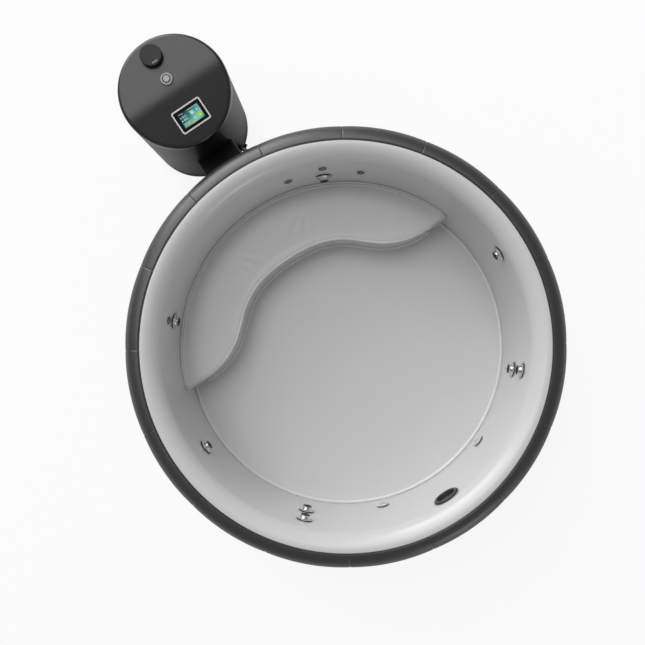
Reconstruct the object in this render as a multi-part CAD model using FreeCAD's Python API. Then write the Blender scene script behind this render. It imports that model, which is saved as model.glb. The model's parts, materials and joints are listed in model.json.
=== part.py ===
"""Round foam-wall hot tub with a drum-shaped pump and heater unit beside it.

Millimetres, +Z up. The origin is on the tub's axis at the ground, and the pump stands towards +Y.
Angles round the tub are clockwise from the pump, seen from above.
"""
import FreeCAD, Part
import math
import os

V = FreeCAD.Vector
UP = V(0, 0, 1)
AHEAD = V(0, 1, 0)

# Tub section
tub_r = 1000.0            # outside of the jacket
tub_h = 610.0             # ground to the crest of the rim
shoulder_r = 70.0         # outer rounding of the rim
rim_flat = 12.75          # level strip on the crest
lip_r = 76.0              # inner rounding of the rim
wall_draft = 3.7          # degrees that the inner wall leans out
basin_z = 50.0            # height of the basin's floor
liner_t = 5.0
jacket_t = 4.0
sheet_t = 3.0             # ground sheet
sheet_inset = 6.0
web_t = 70.0              # foam between the liner and the service channel
channel_sill = 90.0       # foam foot under the channel
channel_head = 9.0        # foam between the channel and the shoulder
panel_count = 16
panel_gap = 0.6           # seam between two jacket panels
seam_turn = 0.95          # degrees, seams round from the places that the pump's line would give
welt_r = 2.5
fit_gap = 0.3             # between skins, beads and seats that only touch

# Bench
seat_h = 176.0            # seat over the basin's floor
seat_edge_r = 14.0        # rounding of the seat's front edge
seat_front = [(0.0, 519.0), (145.0, 506.0), (282.0, 450.0), (360.0, 386.0), (430.0, 327.0),
              (505.0, 286.0), (579.0, 264.0), (690.0, 257.0)]
floor_bead_r = 8.0
bead_sides = 6            # flats round a bead's half
seat_bead_w = 24.0        # double bead where the seat meets the wall
seat_bead_h = 7.0
bead_merge = 0.8          # the double bead's two halves overlap by this at the seat

# Wall fittings: (angle in degrees, height) of each centre on the basin's wall
jet_places = [(26.3, 336.0), (-47.7, 368.0), (92.5, 460.0), (-91.8, 348.0),
              (131.5, 275.0), (131.5, 428.0), (-132.6, 275.0), (-132.6, 428.0)]
injector_places = [(26.3, 460.0), (14.6, 386.0), (38.6, 386.0), (-47.7, 453.0)]
suction_angle = 159.3
suction_z = 170.0
filter_angle = 180.0
filter_head = 1.2         # between the filter's nut and the channel's top
gasket_t = 2.0
gasket_inset = 0.5        # gasket inside its flange's edge
flange_t = 3.0
nut_t = 10.0
barrel_spare = 3.0        # barrel past its nut
flange_step = 1.5         # a face covers its flange by this
nut_lip = 8.0             # how far a locknut reaches past its barrel
lane_gap = 20.0           # from a barrel's back to the line that the tails' side ports share
tail_end = 20.0           # tail past that line

ball_r = 24.0             # jet nozzle's ball
ball_gap = 0.3
socket_wall = 3.2
socket_floor = 3.0        # room behind the ball
socket_reach = 8.4        # socket past the ball's centre
throat_lip = 0.5          # socket's rim holds the ball by this
jet_wall = 3.4
jet_face_r = 35.5
jet_face_t = 5.0
jet_bevel_w = 6.0
jet_bevel_h = 2.5
notch_count = 6           # finger notches round a jet's face
notch_r = 5.0
notch_out = 2.0           # notch's centre outside the face's edge
ball_sink = 10.0          # ball's centre behind the face
nozzle_neck_r = 18.0
nozzle_mouth_r = 22.5
nozzle_reach = 24.0       # ball's centre to the mouth
nozzle_bore_r = 9.0
mouth_depth = 9.0
mouth_lip = 3.0
mouth_band = 4.0
running_gap = 0.08        # radial, between a turning piece and its bore
jet_tail_r = 16.0
jet_bore_r = 8.0

injector_r = 18.5
injector_t = 5.0
injector_barrel_r = 10.0
injector_tail_r = 9.0
injector_bore_r = 4.0
injector_dome_r = 13.0
injector_slot_l = 15.6
injector_slot_w = 3.0

suction_cover_r = 30.5
suction_cover_t = 6.0
suction_barrel_r = 22.0
suction_bore_r = 16.0
suction_dome_r = 22.0
suction_slots = 10
suction_slot_in = 4.8     # a slot's ends from the cover's middle
suction_slot_out = 16.0
suction_slot_w = 2.6

filter_flange_r = 63.5
filter_flange_t = 8.0
filter_bevel_w = 7.0
filter_bevel_h = 5.0
filter_mouth_w = 4.0      # bevel round the mouth
filter_mouth_h = 3.0
filter_mouth_r = 45.5
filter_wall = 3.0
filter_cap_t = 8.0
filter_cap_sink = 10.0    # cap's face behind the wall's face
filter_ledge = 4.0
filter_rim_w = 5.0        # raised edge of the cap
filter_dish = 2.0
filter_grip_l = 54.6
filter_grip_w = 10.0
filter_grip_h = 4.5
filter_port_r = 6.0
filter_port_out = 25.0    # ports' centres from the cap's middle
filter_port_turns = (-40, 0, 40, 140, 180, 220)
cartridge_r = 36.0
cartridge_bore_r = 14.0
cartridge_l = 62.0
cartridge_collar = 4.0

# Pipes in the wall's service channel
water_pipe_r = 20.0
water_pipe_t = 3.0
air_pipe_r = 10.0
air_pipe_t = 2.0
air_branch_r = 9.0
hose_r = 12.0
hose_t = 2.5
filter_hose_r = 14.0
link_r = 18.0             # lines across the bridge
link_t = 3.0
feed_r = 7.0              # air hoses
ring_inset = 12.0         # between the ring pipes and the jacket
ring_gap = 26.0           # between the suction ring and the water ring
air_line_gap = 35.0       # between the water line and the air line
air_ring_drop = 31.0      # air ring under the channel's top
barb_l = 12.0
knuckle = 1.5             # an elbow's corner is fuller than its pipe by this

# Pump unit
pump_gap = 120.0          # between the tub and the pump unit
pump_r = 250.0
pump_h = 650.0
pump_slope = 12.0         # degrees, top's half on the tub's side
crease_r = 300.0          # rounding between the level and the sloped half
rim_round = 16.0
seam_drop = 12.0          # cover's seam below the lowest rounding
housing_t = 4.0
foot_h = 8.0
foot_r = 20.0
foot_inset = 55.0
foot_taper = 2.0
plinth_h = 50.0
tray_t = 6.0
groove_h = 8.0
groove_d = 4.0
base_bevel = 3.0
bead_groove_z = 25.0
bead_groove_h = 2.5
bead_groove_d = 1.5
spigot_h = 20.0

knob_back = 171.5         # knob's axis behind the pump's axis
knob_r = 49.0
knob_h = 24.0
knob_edge = 2.5
knob_gap = 0.5
shaft_r = 6.0
mark_w = 26.0             # pointer at the knob's edge
mark_l = 9.0
mark_d = 0.8
valve_r = 28.0
valve_h = 45.0
valve_reach = 30.0        # knob's shaft in the valve
nipple_l = 12.0
feed_drop = 50.0          # air hose straight down from the valve
feed_set = 75.0           # air hose's last bend inside the drum
bend_share = 0.45         # of the shorter run that a bend takes

button_back = 50.5
bezel_r = 27.5
bezel_h = 12.0
bezel_bore_r = 19.0
bezel_bevel_in = 1.5
bezel_bevel_w = 3.0
bezel_bevel_h = 4.0
sleeve_r = 22.0
guide_t = 4.0
button_r = 14.8
button_proud = 3.0
button_bevel = 1.2
button_dish_r = 11.0
button_dish = 0.8
button_cap_t = 10.0
button_travel = 3.0
stem_r = 5.0
collar_r = 7.5
collar_t = 2.0
spring_r = 8.5
wire_r = 0.8
spring_turns = 6
spring_slack = 4.0        # left between the turns at full travel

display_front = 132.3     # display's centre before the pump's axis
display_w = 147.5
display_d = 106.5
display_border = 6.5
display_corner = 10.0
frame_proud = 5.0
glass_t = 3.5
glass_ledge = 5.0
board_t = 10.0

# Water path in the pump
line_margin = 12.5        # between the unions and the bridge's side
union_t = 8.0
union_l = 34.0
volute_set = 64.0         # volute's front inside the drum
volute_r = 70.0
volute_l = 56.0
volute_wall = 8.0
impeller_gap = 2.0
impeller_r = 55.0
impeller_t = 5.0
vane_h = 14.0
vane_t = 3.0
vane_count = 6
motor_shaft_r = 8.0
hub_wall = 7.0
motor_r = 58.0
motor_l = 160.0
motor_bevel = 6.0
fan_l = 38.0              # fan cowl at the motor's back
fan_step = 3.0
fan_bevel = 8.0
shaft_bite = 60.0         # shaft inside the motor
shaft_room = 1.0          # past the shaft's end
cradle_w = 90.0
cradle_l = 100.0
cradle_drop = 19.0        # cradle's sides below the motor's axis
port_r = 22.0
port_rise = 14.0
riser_r = 18.0
riser_z = 390.0
heater_r = 34.0
heater_t = 3.0
heater_h = 420.0
heater_front = 60.0       # heater's axis before the pump's axis
box_w = 170.0
box_l = 80.0
box_h = 320.0
box_gap = 6.0             # between the control box's corners and the drum's spigot
box_corner = 6.0

# Bridge, drain and cable entry
bridge_w = 205.0
bridge_foot = 62.0
bridge_room = 38.0        # from the air line to the bridge's top
bridge_t = 4.0
bridge_round = 20.0
drain_angle = 28.0        # from the tub's direction, round the pump
drain_z = 98.0
drain_flange_r = 15.0
drain_flange_t = 3.0
drain_body_r = 9.5
drain_body_l = 36.0
spout_r = 8.0
spout_l = 18.0            # past the hose stop
hose_stop_r = 11.0
hose_stop_t = 3.0
hose_stop_reach = 1.0     # past the tap's body
spout_bore_r = 5.0
drain_knuckle = 0.5       # the bore's corner is fuller than the bore by this
drain_stem_r = 3.0
drain_stem_floor = 1.5    # between the stem's hole and the water's bore
drain_boss_wall = 3.0
drain_boss_h = 15.0
lever_l = 34.0
lever_w = 9.0
lever_t = 4.0
gland_z = 95.0
gland_r = 11.0
gland_l = 20.0
gland_thread_r = 6.6
gland_nose_r = 8.0
gland_collar = 11.0
cable_r = 4.5

# Worked out from the sizes above
draft = math.radians(wall_draft)
slope = math.radians(pump_slope)
crest_r = tub_r - shoulder_r - rim_flat
lip_z = tub_h - lip_r * (1 - math.sin(draft))
core_face = liner_t + fit_gap
core_r = tub_r - jacket_t - fit_gap
channel_lo = sheet_t + channel_sill
channel_hi = tub_h - shoulder_r - channel_head
welt_mid = tub_r - shoulder_r - welt_r - fit_gap
seat_z = basin_z + seat_h
ring_r = core_r - ring_inset - water_pipe_r
pump_y = tub_r + pump_gap + pump_r
link_y = tub_r + pump_gap / 2
union_r = link_r + fit_gap + union_t
line_x = bridge_w / 2 - bridge_t - line_margin - union_r
nut_face = core_face + web_t
barrel_back = nut_face + nut_t + barrel_spare
lane = barrel_back + lane_gap
filter_barrel_r = filter_mouth_r + filter_wall
filter_z = channel_hi + nut_face * math.sin(draft) - filter_barrel_r - nut_lip - filter_head
air_ring_z = channel_hi - air_ring_drop
drum_z = plinth_h + groove_h
seam_z = pump_h - pump_r * math.tan(slope) - rim_round - seam_drop
tray_z = foot_h + tray_t
drum_in = pump_r - housing_t


def wall_r(z, depth=0.0):
    """Radius of the basin's wall at a height, or of a cone that far behind it."""
    lip_start = crest_r - lip_r * math.cos(draft)
    return lip_start - (lip_z - z) * math.tan(draft) + depth / math.cos(draft)


def polar(angle, radius, z=0.0):
    """A point round the tub's axis."""
    turn = math.radians(angle)
    return V(radius * math.sin(turn), radius * math.cos(turn), z)


def section(steps):
    """A closed profile in the XZ plane. A step is a point, or a middle and an end point of an arc."""
    edges = []
    here = steps[0]
    for step in steps[1:] + steps[:1]:
        end = step[1] if isinstance(step[0], tuple) else step
        a = V(here[0], 0, here[1])
        b = V(end[0], 0, end[1])
        if isinstance(step[0], tuple):
            edges.append(Part.Arc(a, V(step[0][0], 0, step[0][1]), b).toShape())
        elif (b - a).Length > 1e-6:
            edges.append(Part.LineSegment(a, b).toShape())
        here = end
    return Part.Face(Part.Wire(edges))


def turned(steps, degrees=360.0):
    """A solid of revolution about Z."""
    return section(steps).revolve(V(0, 0, 0), UP, degrees)


def rod(start, end, radius):
    return Part.makeCylinder(radius, (end - start).Length, start, end - start)


def tube(start, end, radius, wall):
    return rod(start, end, radius).cut(rod(start, end, radius - wall))


def frame_at(origin, x_axis, y_axis, z_axis):
    rows = FreeCAD.Matrix(x_axis.x, y_axis.x, z_axis.x, origin.x,
                          x_axis.y, y_axis.y, z_axis.y, origin.y,
                          x_axis.z, y_axis.z, z_axis.z, origin.z, 0, 0, 0, 1)
    return FreeCAD.Placement(rows)


def wall_frame(angle, z):
    """On the basin's wall: local Z points into the basin, local Y up along the wall."""
    outward = polar(angle, 1.0)
    into = outward * -math.cos(draft) + UP * math.sin(draft)
    along = outward * math.sin(draft) + UP * math.cos(draft)
    return frame_at(polar(angle, wall_r(z), z), along.cross(into), along, into)


def placed(shape, frame):
    copy = shape.copy()
    copy.Placement = frame.multiply(copy.Placement)
    return copy


def lane_point(angle, z):
    """On the line behind the wall that the fittings' side ports share."""
    return polar(angle, wall_r(z, lane), z)


def wall_sag(radius):
    """How far a flat disc of that radius stands off the round wall at its middle."""
    near = wall_r(basin_z)
    return near - math.sqrt(near * near - radius * radius)


def seat_face(radius):
    """Back of a flange of that radius, over its gasket."""
    return wall_sag(radius) + gasket_t


def export(name, shapes):
    shape = shapes if isinstance(shapes, Part.Shape) else Part.makeCompound(shapes)
    shape.exportStep(f"parts/{name}.step")
    print(f"{name}: {len(shape.Solids)} solids, {shape.Volume / 1e6:.4f} l, valid {shape.isValid()}")


def lip_arc(depth):
    """The rolled lip, that far behind the liner's face: its start, middle and end."""
    radius = lip_r - depth
    mid = (math.pi / 2 - draft) / 2 + draft
    z0 = tub_h - lip_r
    start = (crest_r - radius * math.cos(draft), z0 + radius * math.sin(draft))
    middle = (crest_r - radius * math.cos(mid), z0 + radius * math.sin(mid))
    return start, middle, (crest_r, z0 + radius)


def shoulder_arc(depth):
    """The jacket's shoulder, that far behind its face: its start, middle and end."""
    radius = shoulder_r - depth
    r0 = tub_r - shoulder_r
    z0 = tub_h - shoulder_r
    part = radius * math.sqrt(0.5)
    return (r0, z0 + radius), (r0 + part, z0 + part), (r0 + radius, z0)


def basin_space(top, margin=0.0):
    """The water's space from the basin's floor to a height, held back from the wall."""
    low_r = wall_r(basin_z, -margin)
    return turned([(0, basin_z), (low_r, basin_z), (wall_r(top, -margin), top), (0, top)])


# Fittings through the wall

jets = [wall_frame(*place) for place in jet_places]
injectors = [wall_frame(*place) for place in injector_places]
suctions = [wall_frame(side * suction_angle, suction_z) for side in (1, -1)]
intake = wall_frame(filter_angle, filter_z)

socket_r = ball_r + ball_gap
barrel_bore_r = socket_r + socket_wall + running_gap
jet_barrel_r = barrel_bore_r + jet_wall
jet_flange_r = jet_face_r - flange_step
suction_flange_r = suction_cover_r - flange_step
jet_front = seat_face(jet_face_r) + flange_t
jet_face_z = jet_front + fit_gap + jet_face_t
ball_z = jet_face_z - ball_sink
filter_front = seat_face(filter_flange_r) + filter_flange_t
suction_front = seat_face(suction_cover_r) + flange_t

fitting_groups = [(jets, jet_barrel_r, jet_flange_r), (suctions, suction_barrel_r, suction_flange_r),
                  (injectors, injector_barrel_r, injector_r), ([intake], filter_barrel_r, filter_flange_r)]


def through_holes():
    """One rod for every hole in the liner and the foam web."""
    front = V(0, 0, lip_r)
    back = V(0, 0, -barrel_back)
    return [placed(rod(back, front, radius + fit_gap), frame)
            for frames, radius, flange in fitting_groups for frame in frames]


def make_shell():
    holes = through_holes()

    export("ground_sheet", Part.makeCylinder(tub_r - sheet_inset, sheet_t))

    pad_top = basin_z - core_face
    export("floor_foam_pad", Part.makeCone(wall_r(sheet_t, liner_t), wall_r(pad_top, liner_t),
                                           pad_top - sheet_t, V(0, 0, sheet_t)))

    lip, lip_mid, crest = lip_arc(core_face)
    neck, neck_mid, side = shoulder_arc(jacket_t + fit_gap)
    web = core_face + web_t
    core = turned([(wall_r(sheet_t, core_face), sheet_t), lip, (lip_mid, crest),
                   (tub_r - shoulder_r, crest[1]), neck, (neck_mid, side), (core_r, channel_hi),
                   (wall_r(channel_hi, web), channel_hi), (wall_r(channel_lo, web), channel_lo),
                   (core_r, channel_lo), (core_r, sheet_t)])
    export("wall_foam_core", core.cut(Part.makeCompound(holes)))

    lip, lip_mid, crest = lip_arc(0)
    back_lip, back_mid, back_crest = lip_arc(liner_t)
    edge = welt_mid - welt_r - fit_gap
    under = basin_z - liner_t
    liner = turned([(0, basin_z), (wall_r(basin_z), basin_z), lip, (lip_mid, crest), (edge, tub_h),
                    (edge, tub_h - liner_t), back_crest, (back_mid, back_lip),
                    (wall_r(under, liner_t), under), (0, under)])
    export("liner", liner.cut(Part.makeCompound(holes)))

    welt_z = tub_h - core_face + welt_r
    export("rim_welt", Part.makeTorus(welt_mid, welt_r, V(0, 0, welt_z)))


def make_jacket():
    """Sixteen panels, each from the crease over the shoulder to the ground."""
    neck, neck_mid, side = shoulder_arc(0)
    inner_neck, inner_mid, inner_side = shoulder_arc(jacket_t)
    pitch = 360.0 / panel_count
    seam = math.degrees(panel_gap / tub_r)
    panel = turned([neck, (neck_mid, side), (tub_r, sheet_t), (tub_r - jacket_t, sheet_t), inner_side,
                    (inner_mid, inner_neck)], pitch - seam)
    lines = [rod(start, start + AHEAD * (2 * shoulder_r), radius + 2 * fit_gap)
             for start, radius in link_starts()]
    panels = []
    for k in range(panel_count):
        turn = 90.0 + seam_turn - pitch / 2 + seam / 2 + k * pitch
        panels.append(placed(panel, FreeCAD.Placement(V(0, 0, 0), FreeCAD.Rotation(UP, turn))))
    panels[0] = panels[0].cut(Part.makeCompound(lines))
    export("jacket_panels", panels)


def seat_front_edge(shift, z):
    """Plan of the seat's front, moved that far into the tub, as one curve that runs past the wall."""
    last = seat_front[-1]
    right = [V(x, y, z) for x, y in seat_front + [((last[0] + tub_r) / 2, last[1]), (tub_r, last[1])]]
    points = [V(-p.x, p.y, z) for p in right[:0:-1]] + right
    curve = smooth(points)
    if shift:
        tangents = [curve.tangent(curve.parameter(p))[0] for p in points]
        curve = smooth([p + t.cross(UP) * shift for p, t in zip(points, tangents)])
    return curve.toShape()


def smooth(points):
    """A curve through points that leaves both ends along X."""
    curve = Part.BSplineCurve()
    curve.interpolate(points, InitialTangent=V(1, 0, 0), FinalTangent=V(1, 0, 0))
    return curve


def make_bench():
    front = seat_front_edge(0, basin_z + fit_gap)
    a, b = [vertex.Point for vertex in front.Vertexes]
    far = V(0, tub_r, 0)
    back = [Part.LineSegment(b, b + far).toShape(), Part.LineSegment(b + far, a + far).toShape(),
            Part.LineSegment(a + far, a).toShape()]
    block = Part.Face(Part.Wire([front] + back)).extrude(UP * (seat_h - fit_gap))
    edges = [e for e in block.Edges if on_seat_edge(e)]
    block = block.makeFillet(seat_edge_r, edges)
    seat = block.common(basin_space(lip_z, fit_gap))
    export("bench_seat", seat)
    return seat


def on_seat_edge(edge):
    """True on the seat's top front edge, the only top edge that starts short of the back."""
    box = edge.BoundBox
    return box.ZMin > seat_z - 1e-3 and box.YMax < tub_r and box.XLength > 1.0


def hump(low, high, base, height):
    """A bead's half-round outline in flats, from one foot to the other."""
    turns = [math.pi * k / bead_sides for k in range(bead_sides + 1)]
    mid = (low + high) / 2
    return [(mid - (high - low) / 2 * math.cos(t), base + height * math.sin(t)) for t in turns]


def make_beads(seat):
    """Weld beads: round the floor, along the seat's foot and where the seat meets the wall."""
    z0 = basin_z + fit_gap
    high = wall_r(z0) - fit_gap
    ring = turned(hump(high - 2 * floor_bead_r, high, z0, floor_bead_r))
    front = seat_front_edge(floor_bead_r + 2 * fit_gap, z0)
    start = front.Vertexes[0].Point
    outline = [start + AHEAD * y + UP * z for y, z in hump(-floor_bead_r, floor_bead_r, 0, floor_bead_r)]
    foot = Part.Wire([front]).makePipeShell([Part.makePolygon(outline + outline[:1])], True, False)
    foot = foot.common(basin_space(lip_z, 2 * floor_bead_r + 2 * fit_gap)).cut(seat)
    swell = Part.makeBox(2 * tub_r, tub_r, seat_h, V(-tub_r, seat_front[-1][1] - 2 * floor_bead_r, basin_z))
    top = seat_z + fit_gap
    r0 = wall_r(top) - seat_bead_w - fit_gap
    valley = r0 + seat_bead_w / 2
    reach = math.degrees(math.acos((seat_front[-1][1] + seat_edge_r) / r0))
    inner = hump(r0, valley + bead_merge, top, seat_bead_h)
    outer = hump(valley - bead_merge, r0 + seat_bead_w, top, seat_bead_h)
    back = turned(inner[:-1] + outer[1:], 2 * reach)
    back = placed(back, FreeCAD.Placement(V(0, 0, 0), FreeCAD.Rotation(UP, 90.0 - reach)))
    export("liner_beads", [ring.cut(swell), foot, back])


def make_fittings():
    """Barrels, gaskets and locknuts, and the small fittings that have no moving piece."""
    water = basin_space(tub_h, fit_gap)
    gaskets = []
    nuts = []
    for frames, radius, flange in fitting_groups:
        seal = rod(V(0, 0, -gasket_t), V(0, 0, seat_face(flange)), flange - gasket_inset)
        seal = seal.cut(rod(V(0, 0, -gasket_t), V(0, 0, lip_r), radius + fit_gap))
        face = V(0, 0, -nut_face)
        nut = tube(face, face - UP * nut_t, radius + nut_lip, nut_lip - fit_gap / 2)
        gaskets += [placed(seal, frame).common(water) for frame in frames]
        nuts += [placed(nut, frame) for frame in frames]
    export("fitting_gaskets", gaskets)
    export("fitting_locknuts", nuts)

    back = -(lane + tail_end)
    seat = seat_face(jet_face_r)
    cup = ball_z - socket_r - socket_floor
    body = turned([(barrel_bore_r, jet_front), (jet_flange_r, jet_front), (jet_flange_r, seat),
                   (jet_barrel_r, seat), (jet_barrel_r, -barrel_back), (jet_tail_r, -barrel_back),
                   (jet_tail_r, back), (0, back), (0, back + jet_wall), (jet_bore_r, back + jet_wall),
                   (jet_bore_r, cup), (barrel_bore_r, cup)])
    bodies = [placed(body, frame) for frame in jets]
    seat = seat_face(suction_cover_r)
    far = -(ring_r - wall_r(suction_z)) / math.cos(draft)
    strainer = turned([(suction_bore_r, suction_front), (suction_flange_r, suction_front),
                       (suction_flange_r, seat), (suction_barrel_r, seat),
                       (suction_barrel_r, -barrel_back), (suction_bore_r + water_pipe_t, -barrel_back),
                       (suction_bore_r + water_pipe_t, far), (suction_bore_r, far)])
    ring = Part.makeTorus(ring_r, water_pipe_r, V(0, 0, suction_ring_z()))
    bodies += [placed(strainer, frame).cut(ring) for frame in suctions]
    bodies = [largest(solid) for solid in bodies]
    export("wall_fitting_bodies", bodies)

    export("suction_covers", [placed(suction_cover(), frame) for frame in suctions])
    export("air_injectors", [placed(air_injector(), frame) for frame in injectors])


def largest(shape):
    return max(shape.Solids, key=lambda solid: solid.Volume)


def suction_cover():
    """Low domed grille with slots in a ring."""
    low = suction_front
    high = low + suction_cover_t
    disc = turned([(0, low), (suction_cover_r, low), (suction_cover_r, low + suction_cover_t / 3),
                   (suction_dome_r, high), (0, high)])
    slot = Part.makeBox(suction_slot_out - suction_slot_in, suction_slot_w, 2 * suction_cover_t,
                        V(suction_slot_in, -suction_slot_w / 2, low - 1))
    slots = []
    for k in range(suction_slots):
        turn = FreeCAD.Rotation(UP, 360.0 * k / suction_slots)
        slots.append(placed(slot, FreeCAD.Placement(V(0, 0, 0), turn)))
    return disc.cut(Part.makeCompound(slots))


def air_injector():
    """Flanged inlet in one piece, with a slotted dome and a closed tail with a bore."""
    seat = seat_face(injector_r)
    front = seat + injector_t
    back = -(lane + tail_end / 2)
    body = turned([(0, front), (injector_dome_r, front), (injector_r, seat + injector_t / 3),
                   (injector_r, seat),
                   (injector_barrel_r, seat), (injector_barrel_r, -barrel_back),
                   (injector_tail_r, -barrel_back), (injector_tail_r, back), (0, back)])
    bore = rod(V(0, 0, back + injector_tail_r), V(0, 0, front - injector_t / 3), injector_bore_r)
    slot = Part.makeBox(injector_slot_l, injector_slot_w, injector_t,
                        V(-injector_slot_l / 2, -injector_slot_w / 2, front - injector_t / 2))
    return body.cut(bore).cut(slot)


def make_jets():
    """Each jet's escutcheon turns in its barrel and holds a ball nozzle that tilts."""
    sleeve_r = barrel_bore_r - running_gap
    sleeve_back = ball_z - socket_reach
    low = jet_front + fit_gap
    ring = turned([(0, jet_face_z), (jet_face_r - jet_bevel_w, jet_face_z),
                   (jet_face_r, jet_face_z - jet_bevel_h), (jet_face_r, low),
                   (sleeve_r, low), (sleeve_r, sleeve_back), (0, sleeve_back)])
    hollow = Part.makeSphere(socket_r, V(0, 0, ball_z))
    throat = math.sqrt(socket_r ** 2 - ball_sink ** 2)
    ring = ring.cut(hollow).cut(rod(V(0, 0, ball_z), V(0, 0, jet_face_z + 1), throat - throat_lip))
    notch_x = jet_face_r + notch_out
    notch = rod(V(notch_x, 0, low - 1), V(notch_x, 0, jet_face_z + 1), notch_r)
    for k in range(notch_count):
        grip = FreeCAD.Rotation(UP, 360.0 * k / notch_count)
        ring = ring.cut(placed(notch, FreeCAD.Placement(V(0, 0, 0), grip)))

    ball = Part.makeSphere(ball_r, V(0, 0, ball_z))
    mouth = ball_z + nozzle_reach
    neck_z = math.sqrt(ball_r ** 2 - nozzle_neck_r ** 2)
    horn = turned([(0, ball_z), (nozzle_neck_r, ball_z), (nozzle_neck_r, ball_z + neck_z),
                   (nozzle_mouth_r, mouth - mouth_band), (nozzle_mouth_r, mouth), (0, mouth)])
    cap = rod(V(0, 0, ball_z + neck_z), V(0, 0, ball_z + ball_r + 1), ball_r)
    nozzle = ball.cut(cap).fuse(horn)
    nozzle = nozzle.cut(rod(V(0, 0, ball_z - ball_r - 1), V(0, 0, mouth + 1), nozzle_bore_r))
    recess = turned([(0, mouth - mouth_depth), (nozzle_neck_r - mouth_lip, mouth - mouth_depth),
                     (nozzle_mouth_r - mouth_lip, mouth), (0, mouth)])
    nozzle = nozzle.cut(recess)
    for number, frame in enumerate(jets, 1):
        export(f"jet_face_{number}", placed(ring, frame))
        export(f"jet_nozzle_{number}", placed(nozzle, frame))
    centre = V(0, 0, ball_z)
    for number, frame in enumerate(jets, 1):
        middle = frame.multVec(centre)
        aim = frame.Rotation.multVec(UP)
        across = frame.Rotation.multVec(V(1, 0, 0))
        print("jet", number, *[round(v, 6) for p in (middle, aim, across) for v in p])


def make_filter():
    """Intake with a barrel through the wall, a cartridge and a twist-lock cap."""
    ledge = -filter_cap_sink - filter_cap_t
    back = -(lane + tail_end)
    seat = seat_face(filter_flange_r)
    inner = filter_mouth_r - filter_ledge
    body = turned([(filter_mouth_r, filter_front - filter_mouth_h),
                   (filter_mouth_r + filter_mouth_w, filter_front),
                   (filter_flange_r - filter_bevel_w, filter_front),
                   (filter_flange_r, filter_front - filter_bevel_h),
                   (filter_flange_r, seat), (filter_barrel_r, seat), (filter_barrel_r, back), (0, back),
                   (0, back + filter_wall), (inner, back + filter_wall), (inner, ledge),
                   (filter_mouth_r, ledge)])
    port = rod(V(0, 0, -lane), V(0, -filter_barrel_r - 1, -lane), filter_hose_r - hose_t)
    export("filter_housing", placed(body.cut(port), intake))

    top = ledge - fit_gap
    core = tube(V(0, 0, top), V(0, 0, top - cartridge_l), cartridge_r, cartridge_r - cartridge_bore_r)
    collar = tube(V(0, 0, top - cartridge_collar), V(0, 0, top), inner - fit_gap,
                  inner - fit_gap - cartridge_bore_r)
    export("filter_cartridge", placed(core.fuse(collar).removeSplitter(), intake))

    face = -filter_cap_sink
    rim = filter_mouth_r - running_gap
    dish = face - filter_dish
    cap = turned([(0, ledge + running_gap), (rim, ledge + running_gap), (rim, face),
                  (rim - filter_rim_w, face), (rim - filter_rim_w - filter_dish / 2, dish), (0, dish)])
    grip = Part.makeBox(filter_grip_l, filter_grip_w, filter_dish + filter_grip_h,
                        V(-filter_grip_l / 2, -filter_grip_w / 2, dish - filter_dish / 2))
    cap = cap.fuse(grip)
    port = rod(V(0, filter_port_out, ledge - 1), V(0, filter_port_out, face + 1), filter_port_r)
    for turn in filter_port_turns:
        cap = cap.cut(placed(port, FreeCAD.Placement(V(0, 0, 0), FreeCAD.Rotation(UP, turn))))
    export("filter_cap", placed(cap, intake))
    print("filter", *[round(v, 6) for v in intake.multVec(V(0, 0, face))],
          *[round(v, 6) for v in intake.Rotation.multVec(UP)])


# Pipes in the service channel

def suction_ring_z():
    """The suction ring lies where the low fittings' tails reach it."""
    return suction_z - (ring_r - wall_r(suction_z)) * math.tan(draft)


def water_ring_z():
    """The water ring lies over the suction ring."""
    return suction_ring_z() + 2 * water_pipe_r + ring_gap


def air_line_z():
    return water_ring_z() + link_r + air_line_gap + air_pipe_r


def link_starts():
    """Where the pressure, suction and air lines leave their rings for the pump, and their radii."""
    y = math.sqrt(ring_r ** 2 - line_x ** 2)
    return [(V(line_x, y, water_ring_z()), link_r), (V(-line_x, y, suction_ring_z()), link_r),
            (V(0, ring_r, air_line_z()), air_branch_r)]


def link_ends():
    """The same lines' ends, where the unions join them to the pump's pipes."""
    return [V(start.x, link_y, start.z) for start, radius in link_starts()]


def elbow_rods(angle, z, radius):
    """From a ring pipe in to the ports' line, and up along it to a hose barb."""
    corner = lane_point(angle, z)
    top = barb_top(angle, z)
    stub = rod(polar(angle, ring_r, z), corner, radius)
    return stub.fuse([Part.makeSphere(radius + knuckle, corner), rod(corner, top, radius)])


def barb_top(angle, z):
    return lane_point(angle, z + (hose_r + barb_l) * math.cos(draft))


def ring_pipe(z, angles, radius, link):
    """A ring with an elbow at each angle and a line towards the pump, bored through."""
    start, end = link

    def run(wall, link_wall, elbow_wall):
        ring = round_ring(z, water_pipe_r - wall)
        elbows = [elbow_rods(angle, z, radius - elbow_wall) for angle in angles]
        return ring.fuse(elbows + [rod(start, end, link_r - link_wall)])

    return run(0, 0, 0).cut(run(water_pipe_t, link_t, hose_t))


def round_ring(z, radius):
    """A ring of round section, made of an outer and an inner half."""
    top = (ring_r, z + radius)
    low = (ring_r, z - radius)
    return turned([top, ((ring_r + radius, z), low), ((ring_r - radius, z), top)])


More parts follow.
